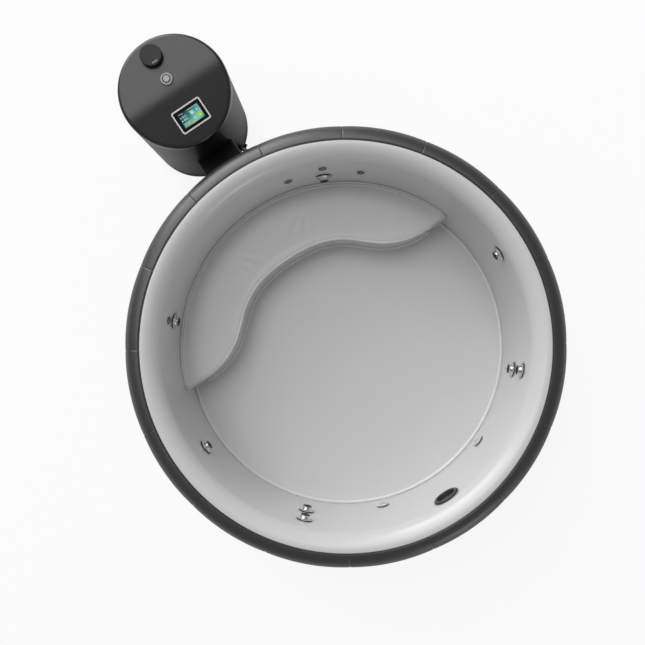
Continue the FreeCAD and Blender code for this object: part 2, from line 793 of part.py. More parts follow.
def make_pipes():
    starts = [start for start, radius in link_starts()]
    links = list(zip(starts, link_ends()))
    columns = sorted({angle for angle, z in jet_places})
    export("water_ring_pipe", ring_pipe(water_ring_z(), columns, hose_r, links[0]))
    export("suction_ring_pipe", ring_pipe(suction_ring_z(), [filter_angle], filter_hose_r, links[1]))

    angles = [angle for angle, z in injector_places]
    sweep = max(angles) - min(angles)
    bend = FreeCAD.Placement(V(0, 0, 0), FreeCAD.Rotation(UP, 90.0 - max(angles)))
    start, end = links[2]

    def run(wall):
        arc = Part.makeTorus(ring_r, air_pipe_r - wall, V(0, 0, air_ring_z), UP, 0, 360, sweep)
        branch_r = air_branch_r - wall
        drop = rod(V(0, ring_r, air_ring_z), start, branch_r)
        corner = Part.makeSphere(branch_r + knuckle, start)
        return placed(arc, bend).fuse([drop, corner, rod(start, end, branch_r)])

    export("air_ring_pipe", run(0).cut(run(air_pipe_t)))
    make_hoses(run(0))


def make_hoses(air_pipe):
    """From each fitting's side port to the fitting below it or to a ring pipe."""
    hoses = []
    near = V(0, 0, -barrel_back)
    far = V(0, 0, -lane - tail_end)
    tails = [rod(f.multVec(near), f.multVec(far), jet_tail_r) for f in jets]
    for (angle, z), frame in zip(jet_places, jets):
        top = frame.multVec(V(0, 0, -lane))
        below = [h for a, h in jet_places if a == angle and h < z]
        if below:
            low = wall_frame(angle, max(below)).multVec(V(0, 0, -lane))
        else:
            low = barb_top(angle, water_ring_z())
        hose = tube(top, low, hose_r, hose_t).cut(Part.makeCompound(tails))
        hoses.append(largest(hose))
    top = intake.multVec(V(0, 0, -lane))
    low = barb_top(filter_angle, suction_ring_z())
    barrel = rod(intake.multVec(near), intake.multVec(far), filter_barrel_r)
    hoses.append(largest(tube(top, low, filter_hose_r, hose_t).cut(barrel)))
    for (angle, z), frame in zip(injector_places, injectors):
        port = frame.multVec(V(0, 0, -lane))
        tail = rod(frame.multVec(near), frame.multVec(far), injector_tail_r)
        feed = rod(port, polar(angle, ring_r, air_ring_z), feed_r)
        hoses.append(largest(feed.cut(tail).cut(air_pipe)))
    export("fitting_hoses", hoses)


# Pump unit

def drum(radius, low, high):
    return Part.makeCylinder(radius, high - low, V(0, pump_y, low))


def cap_block(radius, top, low, edge_r):
    """The drum's top with its level and sloped halves and its rounded rim."""
    reach = radius + rim_round
    rise = reach * math.tan(slope)
    outline = [V(-reach, pump_y + reach, low), V(-reach, pump_y + reach, top), V(-reach, pump_y, top),
               V(-reach, pump_y - reach, top - rise), V(-reach, pump_y - reach, low)]
    prism = Part.Face(Part.makePolygon(outline + outline[:1])).extrude(V(2 * reach, 0, 0))
    crease = [e for e in prism.Edges if abs(e.BoundBox.YMin - pump_y) < 1e-3 and e.BoundBox.YLength < 1e-3]
    prism = prism.makeFillet(crease_r, crease)
    block = prism.common(drum(radius, low - 1.0, top + 1.0))
    rim = [e for e in block.Edges if e.BoundBox.ZMin > low + 1.0 and on_drum(e, radius)]
    return block.makeFillet(edge_r, rim)


def on_drum(edge, radius):
    """True on an edge that runs round the drum."""
    points = edge.discretize(5)
    near = [abs(math.hypot(p.x, p.y - pump_y) - radius) < 1e-3 for p in points]
    return all(near)


def display_frame_place():
    drop = display_front * math.tan(slope)
    origin = V(0, pump_y - display_front, pump_h - drop)
    normal = V(0, -math.sin(slope), math.cos(slope))
    return frame_at(origin, V(1, 0, 0), normal.cross(V(1, 0, 0)), normal)


def plate(width, depth, low, high, corner):
    """A rectangular plate with rounded corners, centred on local Z."""
    box = Part.makeBox(width, depth, high - low, V(-width / 2, -depth / 2, low))
    edges = [e for e in box.Edges if e.BoundBox.ZLength > (high - low) / 2]
    return box.makeFillet(corner, edges)


def make_casing():
    knob = V(0, pump_y + knob_back, 0)
    button = V(0, pump_y + button_back, 0)
    place = display_frame_place()
    window_w = display_w - 2 * display_border
    window_d = display_d - 2 * display_border
    opening_w = window_w - 2 * glass_ledge
    opening_d = window_d - 2 * glass_ledge

    cover = cap_block(pump_r, pump_h, seam_z, rim_round)
    hollow = cap_block(drum_in, pump_h - housing_t, seam_z - 2.0, rim_round - housing_t)
    deep = 3 * housing_t
    cover = cover.cut(hollow)
    cover = cover.cut(rod(knob + UP * (pump_h - deep), knob + UP * (pump_h + deep), shaft_r + 4 * fit_gap))
    cover = cover.cut(rod(button + UP * (pump_h - deep), button + UP * (pump_h + deep), sleeve_r + fit_gap))
    cover = cover.cut(placed(plate(opening_w, opening_d, -deep, deep, display_corner / 2), place))
    export("pump_top_cover", cover)

    shell = drum(pump_r, drum_z, seam_z).cut(drum(drum_in, drum_z, seam_z))
    margin = 4 * bridge_t
    port = Part.makeBox(bridge_w - 2 * margin, pump_r, bridge_z() - bridge_foot - 2 * margin,
                        V(margin - bridge_w / 2, pump_y - pump_r - 1, bridge_foot + margin))
    tap = drain_place()
    entry = gland_place()
    shell = shell.cut(port)
    shell = shell.cut(placed(rod(V(0, 0, -deep), V(0, 0, deep), spout_r + fit_gap), tap))
    shell = shell.cut(placed(rod(V(0, 0, -deep), V(0, 0, deep), gland_thread_r + fit_gap), entry))
    export("pump_housing", shell)

    low = foot_h
    inner = drum_in - fit_gap
    bead_r = pump_r - bead_groove_d
    bead_top = bead_groove_z + bead_groove_h
    base = turned([(0, low), (pump_r - base_bevel, low), (pump_r, low + base_bevel),
                   (pump_r, bead_groove_z), (bead_r, bead_groove_z), (bead_r, bead_top), (pump_r, bead_top),
                   (pump_r, plinth_h), (pump_r - groove_d, plinth_h), (pump_r - groove_d, drum_z),
                   (inner, drum_z), (inner, drum_z + spigot_h), (inner - housing_t, drum_z + spigot_h),
                   (inner - housing_t, tray_z), (0, tray_z)])
    base.translate(V(0, pump_y, 0))
    export("pump_base", base)
    feet = []
    for turn in (45, 135, 225, 315):
        spot = polar(turn, pump_r - foot_inset)
        feet.append(Part.makeCone(foot_r - foot_taper, foot_r, foot_h, spot + V(0, pump_y, 0)))
    export("pump_feet", feet)

    outer = plate(display_w, display_d, 0, frame_proud, display_corner)
    window = plate(window_w, window_d, -1, frame_proud + 1, display_corner / 2)
    bezel = outer.cut(window)
    export("display_frame", placed(bezel, place))
    glass = plate(window_w - 2 * fit_gap, window_d - 2 * fit_gap, 0, glass_t, display_corner / 2)
    export("display_glass", placed(glass, place))
    board = plate(opening_w - 4 * fit_gap, opening_d - 4 * fit_gap, -board_t, 0, display_corner / 2)
    export("display_board", placed(board, place))


def make_button():
    """A sprung push button in a ringed bezel, guided by its stem."""
    at = V(0, pump_y + button_back, pump_h)
    top = bezel_h + button_proud
    cap_low = top - button_cap_t
    plate_top = cap_low - button_travel - 2 * wire_r * (spring_turns + 1) - spring_slack
    sleeve_low = plate_top - guide_t
    bezel = turned([(bezel_bore_r, bezel_h - bezel_bevel_in), (bezel_bore_r + bezel_bevel_in, bezel_h),
                    (bezel_r - bezel_bevel_w, bezel_h), (bezel_r, bezel_h - bezel_bevel_h), (bezel_r, 0),
                    (sleeve_r, 0), (sleeve_r, sleeve_low), (stem_r + running_gap, sleeve_low),
                    (stem_r + running_gap, plate_top), (bezel_bore_r, plate_top)])
    bezel.translate(at)
    export("button_bezel", bezel)
    stop = sleeve_low - running_gap
    button = turned([(0, top - button_dish), (button_dish_r, top), (button_r - button_bevel, top),
                     (button_r, top - button_bevel), (button_r, cap_low), (stem_r, cap_low), (stem_r, stop),
                     (collar_r, stop), (collar_r, stop - collar_t), (0, stop - collar_t)])
    button.translate(at)
    export("power_button", button)
    low = plate_top + wire_r + fit_gap
    high = cap_low - wire_r - fit_gap
    coil = Part.makeLongHelix((high - low) / spring_turns, high - low, spring_r)
    start = V(spring_r, 0, 0)
    ring = Part.Wire([Part.makeCircle(wire_r, start, V(0, 1, 0))])
    spring = Part.Wire(coil).makePipeShell([ring], True, True)
    spring.translate(at + UP * low)
    export("button_spring", spring)
    print("button", at.y, "spring foot", at.z + plate_top)


def make_knob():
    """The air knob, with its shaft in the valve that hangs under the cover."""
    at = V(0, pump_y + knob_back, 0)
    low = pump_h + knob_gap
    high = low + knob_h
    under = pump_h - housing_t
    tip = under - valve_reach
    knob = turned([(0, high), (knob_r - knob_edge, high), (knob_r, high - knob_edge), (knob_r, low),
                   (shaft_r, low), (shaft_r, tip), (0, tip)])
    mark = Part.makeBox(mark_w, mark_l, 2 * mark_d, V(-mark_w / 2, knob_edge - knob_r, high - mark_d))
    knob = knob.cut(mark)
    knob.translate(at)
    export("air_knob", knob)
    bore = shaft_r + running_gap
    valve = turned([(bore, under), (valve_r, under), (valve_r, under - valve_h), (feed_r, under - valve_h),
                    (feed_r, under - valve_h - nipple_l), (0, under - valve_h - nipple_l),
                    (0, tip - fit_gap), (bore, tip - fit_gap)])
    valve.translate(at)
    export("air_valve", valve)


def motor_frame(y):
    """On the motor's axis, with local Z towards the back of the pump."""
    return frame_at(V(-line_x, y, suction_ring_z()), V(1, 0, 0), V(0, 0, -1), V(0, 1, 0))


def make_motor():
    front = pump_y - pump_r + volute_set
    place = motor_frame(front)
    axle = V(-line_x, 0, suction_ring_z())
    bore_r = link_r - link_t
    cavity_r = volute_r - volute_wall
    cavity_end = volute_l - volute_wall
    cup = turned([(bore_r, 0), (volute_r, 0), (volute_r, volute_l), (motor_shaft_r + running_gap, volute_l),
                  (motor_shaft_r + running_gap, cavity_end), (cavity_r, cavity_end),
                  (cavity_r, volute_wall), (bore_r, volute_wall)])
    cup = placed(cup, place)
    port = V(axle.x, front + volute_l / 2, axle.z)
    top = port + UP * (volute_r + port_rise)
    boss = rod(port + UP * cavity_r, top, port_r)
    cup = cup.fuse(boss).cut(rod(port, top, riser_r - hose_t)).removeSplitter()
    export("volute", cup)

    disc_z = cavity_end - impeller_gap - impeller_t
    hub_r = motor_shaft_r + hub_wall
    wheel = turned([(0, disc_z - vane_h), (hub_r, disc_z - vane_h), (hub_r, disc_z), (impeller_r, disc_z),
                    (impeller_r, disc_z + impeller_t), (motor_shaft_r, disc_z + impeller_t),
                    (motor_shaft_r, volute_l + shaft_bite), (0, volute_l + shaft_bite)])
    vane = Part.makeBox(impeller_r - hub_r, vane_t, vane_h + impeller_t / 2,
                        V(hub_r - vane_t, -vane_t / 2, disc_z - vane_h))
    vanes = []
    for k in range(vane_count):
        turn = FreeCAD.Rotation(UP, 360.0 * k / vane_count)
        vanes.append(placed(vane, FreeCAD.Placement(V(0, 0, 0), turn)))
    export("impeller", placed(wheel.fuse(vanes).removeSplitter(), place))

    back = volute_l + motor_l
    fan_r = motor_r - fan_step
    bore_r = motor_shaft_r + running_gap
    bore_end = volute_l + shaft_bite + shaft_room
    shell = turned([(bore_r, volute_l), (motor_r - motor_bevel, volute_l),
                    (motor_r, volute_l + motor_bevel), (motor_r, back - fan_l), (fan_r, back - fan_l),
                    (fan_r, back - fan_bevel), (fan_r - fan_bevel, back), (0, back), (0, bore_end),
                    (bore_r, bore_end)])
    export("motor", placed(shell, place))
    start = front + volute_l + (motor_l - fan_l - cradle_l) / 2
    block = Part.makeBox(cradle_w, cradle_l, axle.z - tray_z - cradle_drop,
                         V(axle.x - cradle_w / 2, start, tray_z))
    hold = rod(V(axle.x, front, axle.z), V(axle.x, front + 2 * motor_l, axle.z), motor_r + fit_gap)
    export("motor_cradle", block.cut(hold))
    print("motor axle", axle.x, axle.z, "front", front)
    make_heater(front, top)


def make_heater(front, port_top):
    spot = V(line_x, pump_y - heater_front, tray_z)
    top = spot + UP * heater_h
    hot = rod(spot, top, heater_r)
    inside = rod(spot + UP * heater_t, top - UP * heater_t, heater_r - heater_t)
    pressure, suction, air = link_ends()
    knee = V(port_top.x, port_top.y, riser_z)
    entry = V(spot.x, spot.y, riser_z)
    outlet_end = V(spot.x, spot.y, pressure.z)
    ports = [rod(knee, entry, riser_r - hose_t), rod(pressure, outlet_end, link_r - link_t)]
    export("heater_tube", hot.cut(inside).cut(Part.makeCompound(ports)))

    feed = tube(pressure, outlet_end, link_r, link_t).cut(hot)
    inflow = tube(suction, V(suction.x, front, suction.z), link_r, link_t)

    def rise(radius):
        corner = Part.makeSphere(radius + knuckle, knee)
        return rod(port_top, knee, radius).fuse([corner, rod(knee, entry, radius)])

    discharge = largest(rise(riser_r).cut(rise(riser_r - hose_t)).cut(hot))
    export("pump_pipes", [largest(feed), inflow, discharge, air_feed(air)])

    nuts = [union(p, union_l / 2, link_r) for p in (pressure, suction)]
    export("hose_unions", nuts + [union(air, union_l / 4, air_branch_r)])

    reach = drum_in - fit_gap - housing_t - box_gap
    far = math.sqrt(reach ** 2 - (box_w / 2) ** 2)
    box = Part.makeBox(box_w, box_l, box_h, V(-box_w / 2, pump_y + far - box_l, tray_z))
    lid = [e for e in box.Edges if e.BoundBox.ZLength > box_h / 2]
    export("control_box", box.makeFillet(box_corner, lid))


def union(middle, half, pipe_r):
    """A union nut round the joint of two lines."""
    step = AHEAD * half
    return tube(middle - step, middle + step, pipe_r + fit_gap + union_t, union_t)


def air_feed(air):
    """Air hose from the valve's nipple down to the bridge, straight runs joined by arcs."""
    start = V(0, pump_y + knob_back, pump_h - housing_t - valve_h - nipple_l)
    first = start - UP * feed_drop
    second = V(0, pump_y - drum_in + feed_set, air.z)
    route = [start, first, second, air]
    edges = []
    here = start
    for a, b, c in zip(route, route[1:], route[2:]):
        into = (b - a).normalize()
        away = (c - b).normalize()
        turn = into.getAngle(away)
        cut = bend_share * min((b - a).Length, (c - b).Length)
        bulge = cut / math.tan(turn / 2) * (1 / math.cos(turn / 2) - 1)
        middle = b + (away - into).normalize() * bulge
        edges.append(Part.LineSegment(here, b - into * cut).toShape())
        edges.append(Part.Arc(b - into * cut, middle, b + away * cut).toShape())
        here = b + away * cut
    edges.append(Part.LineSegment(here, air).toShape())

    def run(radius):
        ring = Part.Wire([Part.makeCircle(radius, start, UP)])
        return Part.Wire(edges).makePipeShell([ring], True, False)

    return run(feed_r).cut(run(feed_r - air_pipe_t))


def bridge_z():
    """Top of the bridge, over the air line."""
    return air_line_z() + bridge_room


def make_bridge():
    bridge_top = bridge_z()
    low_y = tub_r - shoulder_r
    size = V(bridge_w, pump_y - low_y, bridge_top - bridge_foot)
    block = Part.makeBox(size.x, size.y, size.z, V(-bridge_w / 2, low_y, bridge_foot))
    edges = [e for e in block.Edges if e.BoundBox.YLength > 1 and e.BoundBox.ZMin > bridge_top - 1]
    block = block.makeFillet(bridge_round, edges)
    inner = Part.makeBox(size.x - 2 * bridge_t, size.y + 2, size.z - bridge_t + 1,
                         V(bridge_t - bridge_w / 2, low_y - 1, bridge_foot - 1))
    ceiling = bridge_top - bridge_t
    edges = [e for e in inner.Edges if e.BoundBox.YLength > 1 and e.BoundBox.ZMin > ceiling - 1]
    inner = inner.makeFillet(bridge_round - bridge_t, edges)
    tub = Part.makeCylinder(tub_r + fit_gap, tub_h)
    export("bridge_cover", block.cut(inner).cut(tub).cut(drum(pump_r + fit_gap, 0, pump_h)))


def drain_place():
    """On the drum's side: local Z points out, local Y up."""
    turn = math.radians(drain_angle)
    out = V(math.sin(turn), -math.cos(turn), 0)
    return frame_at(V(0, pump_y, drain_z) + out * pump_r, UP.cross(out), UP, out)


def make_drain():
    """A tap whose spout turns aside, along the drum, past a hose stop, with its lever on top."""
    place = drain_place()
    seat = fit_gap
    neck = seat + drain_flange_t
    end = neck + drain_body_l
    mid = neck + drain_body_l / 2
    stop = drain_body_r + hose_stop_reach
    tip = stop + spout_l
    inside = -3 * housing_t
    body = turned([(0, inside), (spout_r, inside), (spout_r, seat), (drain_flange_r, seat),
                   (drain_flange_r, neck), (drain_body_r, neck), (drain_body_r, end), (0, end)])
    side = V(1, 0, 0)
    centre = V(0, 0, mid)
    floor = spout_bore_r + drain_stem_floor
    boss = rod(V(0, floor, mid), V(0, drain_boss_h, mid), drain_stem_r + drain_boss_wall)
    hose_stop = rod(centre + side * (stop - hose_stop_t), centre + side * stop, hose_stop_r)
    body = body.fuse([boss, hose_stop, rod(centre, centre + side * tip, spout_r)])
    socket = rod(V(0, floor, mid), V(0, drain_boss_h + 1, mid), drain_stem_r + running_gap)
    water = [rod(V(0, 0, inside), centre, spout_bore_r), rod(centre, centre + side * tip, spout_bore_r),
             Part.makeSphere(spout_bore_r + drain_knuckle, centre)]
    body = body.cut(socket).cut(Part.makeCompound(water)).removeSplitter()
    export("drain_tap", placed(body, place))
    low = drain_boss_h + fit_gap
    stem = rod(V(0, floor + fit_gap, mid), V(0, low + lever_t, mid), drain_stem_r)
    lever = Part.makeBox(lever_w, lever_t, lever_l, V(-lever_w / 2, low, mid - lever_w / 2))
    edges = [e for e in lever.Edges if e.BoundBox.YLength > lever_t / 2]
    lever = lever.makeFillet(lever_w / 2 - fit_gap, edges)
    export("drain_handle", placed(stem.fuse(lever).removeSplitter(), place))
    print("drain", *[round(v, 5) for v in place.multVec(centre)],
          "spout", *[round(v, 5) for v in place.multVec(centre + side * (tip - spout_l / 2))],
          "along", *[round(v, 6) for v in place.Rotation.multVec(side)])


def gland_place():
    return frame_at(V(0, pump_y + pump_r, gland_z), V(-1, 0, 0), UP, AHEAD)


def make_gland():
    back = -3 * housing_t
    body = turned([(cable_r, back), (gland_thread_r, back), (gland_thread_r, fit_gap), (gland_r, fit_gap),
                   (gland_r, gland_collar), (gland_nose_r, gland_l), (cable_r, gland_l)])
    export("cable_gland", placed(body, gland_place()))


def main():
    os.makedirs("parts", exist_ok=True)
    make_shell()
    make_jacket()
    make_beads(make_bench())
    make_fittings()
    make_jets()
    make_filter()
    make_pipes()
    make_casing()
    make_button()
    make_knob()
    make_motor()
    make_bridge()
    make_drain()
    make_gland()


main()
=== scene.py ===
"""Looks of a round soft-sided hot tub and its pump unit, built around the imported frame.

Metres, +Z up, in the frame's own axes: the tub's axis is Z, and the pump stands towards +Y.
"""
import json
import math

import bmesh
import bpy
from bpy.props import FloatProperty, FloatVectorProperty, IntProperty, PointerProperty
from mathutils import Matrix, Vector


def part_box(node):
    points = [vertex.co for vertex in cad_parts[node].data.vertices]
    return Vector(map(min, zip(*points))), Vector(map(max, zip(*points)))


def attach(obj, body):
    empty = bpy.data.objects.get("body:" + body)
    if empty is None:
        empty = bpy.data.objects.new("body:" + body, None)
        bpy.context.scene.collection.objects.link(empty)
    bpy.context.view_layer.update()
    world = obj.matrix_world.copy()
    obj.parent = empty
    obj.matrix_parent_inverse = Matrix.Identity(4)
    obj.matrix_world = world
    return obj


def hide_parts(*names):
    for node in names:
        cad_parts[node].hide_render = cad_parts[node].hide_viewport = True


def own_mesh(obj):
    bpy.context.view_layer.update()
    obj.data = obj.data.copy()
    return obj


bl_info = {
    "name": "Soft-sided Hot Tub",
    "version": (1, 0, 0),
    "blender": (4, 5, 0),
    "location": "View3D > Sidebar > Hot Tub",
    "description": "Dresses a packed hot tub and its pump unit with skins, stitching and finishes",
    "category": "Add Mesh",
}

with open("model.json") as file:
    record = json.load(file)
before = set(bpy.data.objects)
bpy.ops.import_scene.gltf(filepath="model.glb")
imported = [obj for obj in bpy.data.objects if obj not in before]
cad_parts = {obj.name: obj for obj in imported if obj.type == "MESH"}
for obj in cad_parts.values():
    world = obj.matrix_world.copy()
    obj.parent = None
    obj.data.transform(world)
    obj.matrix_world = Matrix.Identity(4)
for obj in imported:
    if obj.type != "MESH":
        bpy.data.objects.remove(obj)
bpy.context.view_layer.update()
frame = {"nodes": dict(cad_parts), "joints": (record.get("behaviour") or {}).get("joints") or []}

mm = 0.001
UP = Vector((0.0, 0.0, 1.0))

# Places that the frame gives
jacket_low, jacket_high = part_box("jacket_panels")
_, liner_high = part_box("liner")
seat_low, seat_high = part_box("bench_seat")
knob_low, knob_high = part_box("air_knob")
glass_low, glass_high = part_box("display_glass")
_, cover_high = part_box("pump_top_cover")
tub_radius = jacket_high.x
rim_height = liner_high.z
joints = {joint["name"]: joint for joint in frame["joints"]}


def linear(hex_colour):
    """An sRGB hex colour as linear red, green and blue."""
    parts = [int(hex_colour[i:i + 2], 16) / 255.0 for i in (1, 3, 5)]
    return [c / 12.92 if c <= 0.04045 else ((c + 0.055) / 1.055) ** 2.4 for c in parts]


def length(name, description, default):
    """A size that a user would change."""
    return FloatProperty(name=name, description=description, default=default, min=0.0,
                         unit="LENGTH", subtype="DISTANCE")


def colour(name, description, default):
    return FloatVectorProperty(name=name, description=description, default=linear(default), size=3,
                               min=0.0, max=1.0, subtype="COLOR")


class TubSizes(bpy.types.PropertyGroup):
    """Sizes of the tub's skins"""
    shoulder: length("Shoulder", "Rounding of the jacket's shoulder", 70 * mm)
    lip: length("Lip", "Rounding of the liner's lip", 76 * mm)
    rim_flat: length("Rim flat", "Level strip on the rim", 12.75 * mm)
    wall_draft: FloatProperty(name="Wall draft", description="Lean of the basin's wall",
                              default=math.radians(3.7), subtype="ANGLE", unit="ROTATION")
    floor_height: length("Floor", "Height of the basin's floor", 50 * mm)
    skin: length("Skin", "Thickness of liner and jacket", 3 * mm)
    panels: IntProperty(name="Panels", description="Panels round the jacket", default=16, min=3)
    crown: length("Crown", "Swell of a jacket panel between its seams", 1.5 * mm)
    ease: length("Ease", "How far the jacket's side stands off the foam", 2 * mm)
    seam_depth: length("Seam depth", "How far a seam is drawn in", 1.1 * mm)
    seam_turn: FloatProperty(name="Seam turn", description="Turn of all the seams from the pump's line",
                             default=math.radians(0.95), subtype="ANGLE", unit="ROTATION")
    stitch: length("Stitch", "Length from one stitch to the next", 9 * mm)
    piping: length("Piping", "Radius of the piping in the crease", 2.8 * mm)
    bead: length("Bead", "Height of the weld bead on the floor", 8 * mm)
    seat_bead: length("Seat bead", "Height of the double bead behind the seat", 4.5 * mm)


class TubColours(bpy.types.PropertyGroup):
    """Colours of the main finishes"""
    liner: colour("Liner", "Pale vinyl of the basin", "#D4D4D4")
    jacket: colour("Jacket", "Leatherette of the jacket", "#202122")
    casing: colour("Casing", "Plastic of the pump unit", "#1B1C1C")
    knob: colour("Knob", "Soft-touch plastic of the knob", "#191A1A")


def sizes():
    return bpy.context.scene.hot_tub_sizes


def colours():
    return bpy.context.scene.hot_tub_colours


# Node and mesh helpers

def add_node(tree, kind, inputs=None, **settings):
    """Adds a node with its settings. An input is a value, or a socket to link from."""
    made = tree.nodes.new(kind)
    for name, value in settings.items():
        setattr(made, name, value)
    for name, value in (inputs or {}).items():
        if isinstance(value, bpy.types.NodeSocket):
            tree.links.new(value, made.inputs[name])
        else:
            made.inputs[name].default_value = value
    return made


def new_material(name, inputs):
    """A material with one principled shader, its tree and that shader."""
    material = bpy.data.materials.new(name)
    material.use_nodes = True
    tree = material.node_tree
    shader = tree.nodes["Principled BSDF"]
    for socket, value in inputs.items():
        shader.inputs[socket].default_value = value
    return material, tree, shader


def rgba(rgb):
    return (*rgb, 1.0)


def scaled(rgb, factor):
    return rgba([c * factor for c in rgb])


def per_metre(size):
    """A texture scale whose features are that size."""
    return 1.0 / size


def mottle(tree, shader, rgb, spread, size, roughness, rough_spread):
    """Uneven colour and gloss: clouds of that size between a darker and a lighter tone."""
    place = add_node(tree, "ShaderNodeTexCoord").outputs["Object"]
    clouds = add_node(tree, "ShaderNodeTexNoise",
                      {"Vector": place, "Scale": per_metre(size), "Detail": 4.0})
    tone = add_node(tree, "ShaderNodeMix", {"Factor": clouds.outputs["Fac"]}, data_type="RGBA")
    tone.inputs["A"].default_value = scaled(rgb, 1.0 - spread)
    tone.inputs["B"].default_value = scaled(rgb, 1.0 + spread)
    tree.links.new(tone.outputs["Result"], shader.inputs["Base Color"])
    gloss = add_node(tree, "ShaderNodeMapRange", {"Value": clouds.outputs["Fac"],
                                                  "To Min": roughness - rough_spread,
                                                  "To Max": roughness + rough_spread})
    tree.links.new(gloss.outputs["Result"], shader.inputs["Roughness"])
    return place


def bump(tree, shader, height, strength, depth):
    raised = add_node(tree, "ShaderNodeBump", {"Height": height, "Strength": strength, "Distance": depth})
    tree.links.new(raised.outputs["Normal"], shader.inputs["Normal"])


# Materials, each named for what the real one is, save where a name says that it carries painted light or
# shade

def leatherette():
    """Embossed leatherette: pebbles a few millimetres wide with creases between, and a satin top coat."""
    rgb = colours().jacket
    top_coat = {"IOR": 1.5, "Specular IOR Level": 0.9, "Coat Weight": 0.25, "Coat Roughness": 0.4}
    material, tree, shader = new_material("embossed_leatherette", top_coat)
    place = mottle(tree, shader, rgb, 0.10, 90 * mm, 0.41, 0.03)
    pebbles = add_node(tree, "ShaderNodeTexVoronoi", {"Vector": place, "Scale": per_metre(3.2 * mm)},
                       feature="SMOOTH_F1")
    pores = add_node(tree, "ShaderNodeTexNoise", {"Vector": place, "Scale": per_metre(1.4 * mm)})
    grain = add_node(tree, "ShaderNodeMath", {0: pebbles.outputs["Distance"], 1: pores.outputs["Fac"]},
                     operation="ADD")
    bump(tree, shader, grain.outputs["Value"], 0.30, 0.4 * mm)
    return material


def vinyl():
    """Calendered vinyl: pale, satin, with a faint emboss that only breaks up the highlights."""
    material, tree, shader = new_material("calendered_vinyl", {"IOR": 1.5, "Specular IOR Level": 0.75})
    place = mottle(tree, shader, colours().liner, 0.015, 220 * mm, 0.30, 0.02)
    emboss = add_node(tree, "ShaderNodeTexNoise",
                      {"Vector": place, "Scale": per_metre(2.2 * mm), "Detail": 3.0})
    bump(tree, shader, emboss.outputs["Fac"], 0.10, 0.2 * mm)
    return material


def welding_cord():
    """Extruded vinyl welding cord: smooth, and painted paler than the sheets that it joins, as painted light
    that lifts the beads out of the shade that falls on them.
    """
    # The pale #E2E2E2 is painted light: it brightens the beads where the seat and the wall shade them.
    return moulded("welding_cord_painted_light", linear("#E2E2E2"), 0.34, 2.5 * mm, 0.05 * mm, 0.02)


def thread():
    """Twisted polyester thread: matt, with the ply's slant as fine stripes."""
    rgb = linear("#4A4B4D")
    material, tree, shader = new_material("polyester_thread", {"IOR": 1.5})
    place = mottle(tree, shader, rgb, 0.2, 4 * mm, 0.7, 0.08)
    ply = add_node(tree, "ShaderNodeTexWave", {"Vector": place, "Scale": per_metre(1.2 * mm) / 20.0},
                   bands_direction="DIAGONAL")
    bump(tree, shader, ply.outputs["Fac"], 0.4, 0.2 * mm)
    return material


def moulded(name, rgb, roughness, grain, depth=0.15 * mm, spread=0.05, level=0.5):
    """Moulded plastic with a spark-eroded texture of that grain size."""
    material, tree, shader = new_material(name, {"IOR": 1.49, "Specular IOR Level": level})
    place = mottle(tree, shader, rgb, spread, 120 * mm, roughness, 0.04)
    texture = add_node(tree, "ShaderNodeTexNoise",
                       {"Vector": place, "Scale": per_metre(grain), "Detail": 2.0})
    bump(tree, shader, texture.outputs["Fac"], 0.25, depth)
    return material


def metal(name, rgb, roughness, lay):
    """Bare or plated metal: a tinted mirror whose gloss varies along fine lay marks of that width."""
    material, tree, shader = new_material(name, {"Metallic": 1.0})
    place = mottle(tree, shader, rgb, 0.03, 30 * mm, roughness, roughness * 0.3)
    marks = add_node(tree, "ShaderNodeTexNoise",
                     {"Vector": place, "Scale": per_metre(lay), "Detail": 2.0})
    bump(tree, shader, marks.outputs["Fac"], 0.06, 0.05 * mm)
    return material


def rubber(name, rgb):
    """Cured rubber: matt, nearly black, with a dusty bloom."""
    return moulded(name, rgb, 0.75, 1.6 * mm, 0.1 * mm, 0.15)


def woven_sheet():
    """Woven ground sheet: flat tapes 3 mm wide that cross over and under."""
    material, tree, shader = new_material("woven_tape", {"IOR": 1.49, "Roughness": 0.6})
    place = mottle(tree, shader, linear("#2A2B2D"), 0.1, 60 * mm, 0.6, 0.05)
    tapes = add_node(tree, "ShaderNodeTexChecker", {"Vector": place, "Scale": per_metre(3 * mm)})
    bump(tree, shader, tapes.outputs["Fac"], 0.4, 0.2 * mm)
    return material


def foam():
    """Cross-linked foam: closed cells about 2 mm wide."""
    material, tree, shader = new_material("closed_cell_foam", {"IOR": 1.4})
    place = mottle(tree, shader, linear("#D8D8D2"), 0.04, 50 * mm, 0.85, 0.05)
    cells = add_node(tree, "ShaderNodeTexVoronoi", {"Vector": place, "Scale": per_metre(2 * mm)})
    bump(tree, shader, cells.outputs["Distance"], 0.5, 0.6 * mm)
    return material


def pleated_paper():
    """Pleated filter paper: pale folds 4 mm apart."""
    material, tree, shader = new_material("pleated_filter_paper", {"IOR": 1.5})
    place = mottle(tree, shader, linear("#DAD9D2"), 0.05, 40 * mm, 0.8, 0.05)
    folds = add_node(tree, "ShaderNodeTexWave", {"Vector": place, "Scale": per_metre(4 * mm) / 20.0})
    bump(tree, shader, folds.outputs["Fac"], 0.8, 2 * mm)
    return material


def cover_glass():
    """Black-backed touch glass: a dark body under a sharp, anti-glare surface."""
    material, tree, shader = new_material("black_backed_glass", {"IOR": 1.52, "Specular IOR Level": 0.3})
    place = mottle(tree, shader, linear("#050505"), 0.1, 50 * mm, 0.08, 0.03)
    film = add_node(tree, "ShaderNodeTexNoise", {"Vector": place, "Scale": per_metre(12 * mm)})
    bump(tree, shader, film.outputs["Fac"], 0.02, 0.05 * mm)
    return material


def lit_ink(name, rgb, strength):
    """A lit patch of the display, with its own glow and a little unevenness from the pixels."""
    material, tree, shader = new_material(name, {"IOR": 1.5, "Emission Strength": strength})
    mottle(tree, shader, rgb, 0.08, 8 * mm, 0.25, 0.03)
    shader.inputs["Emission Color"].default_value = rgba(rgb)
    return material


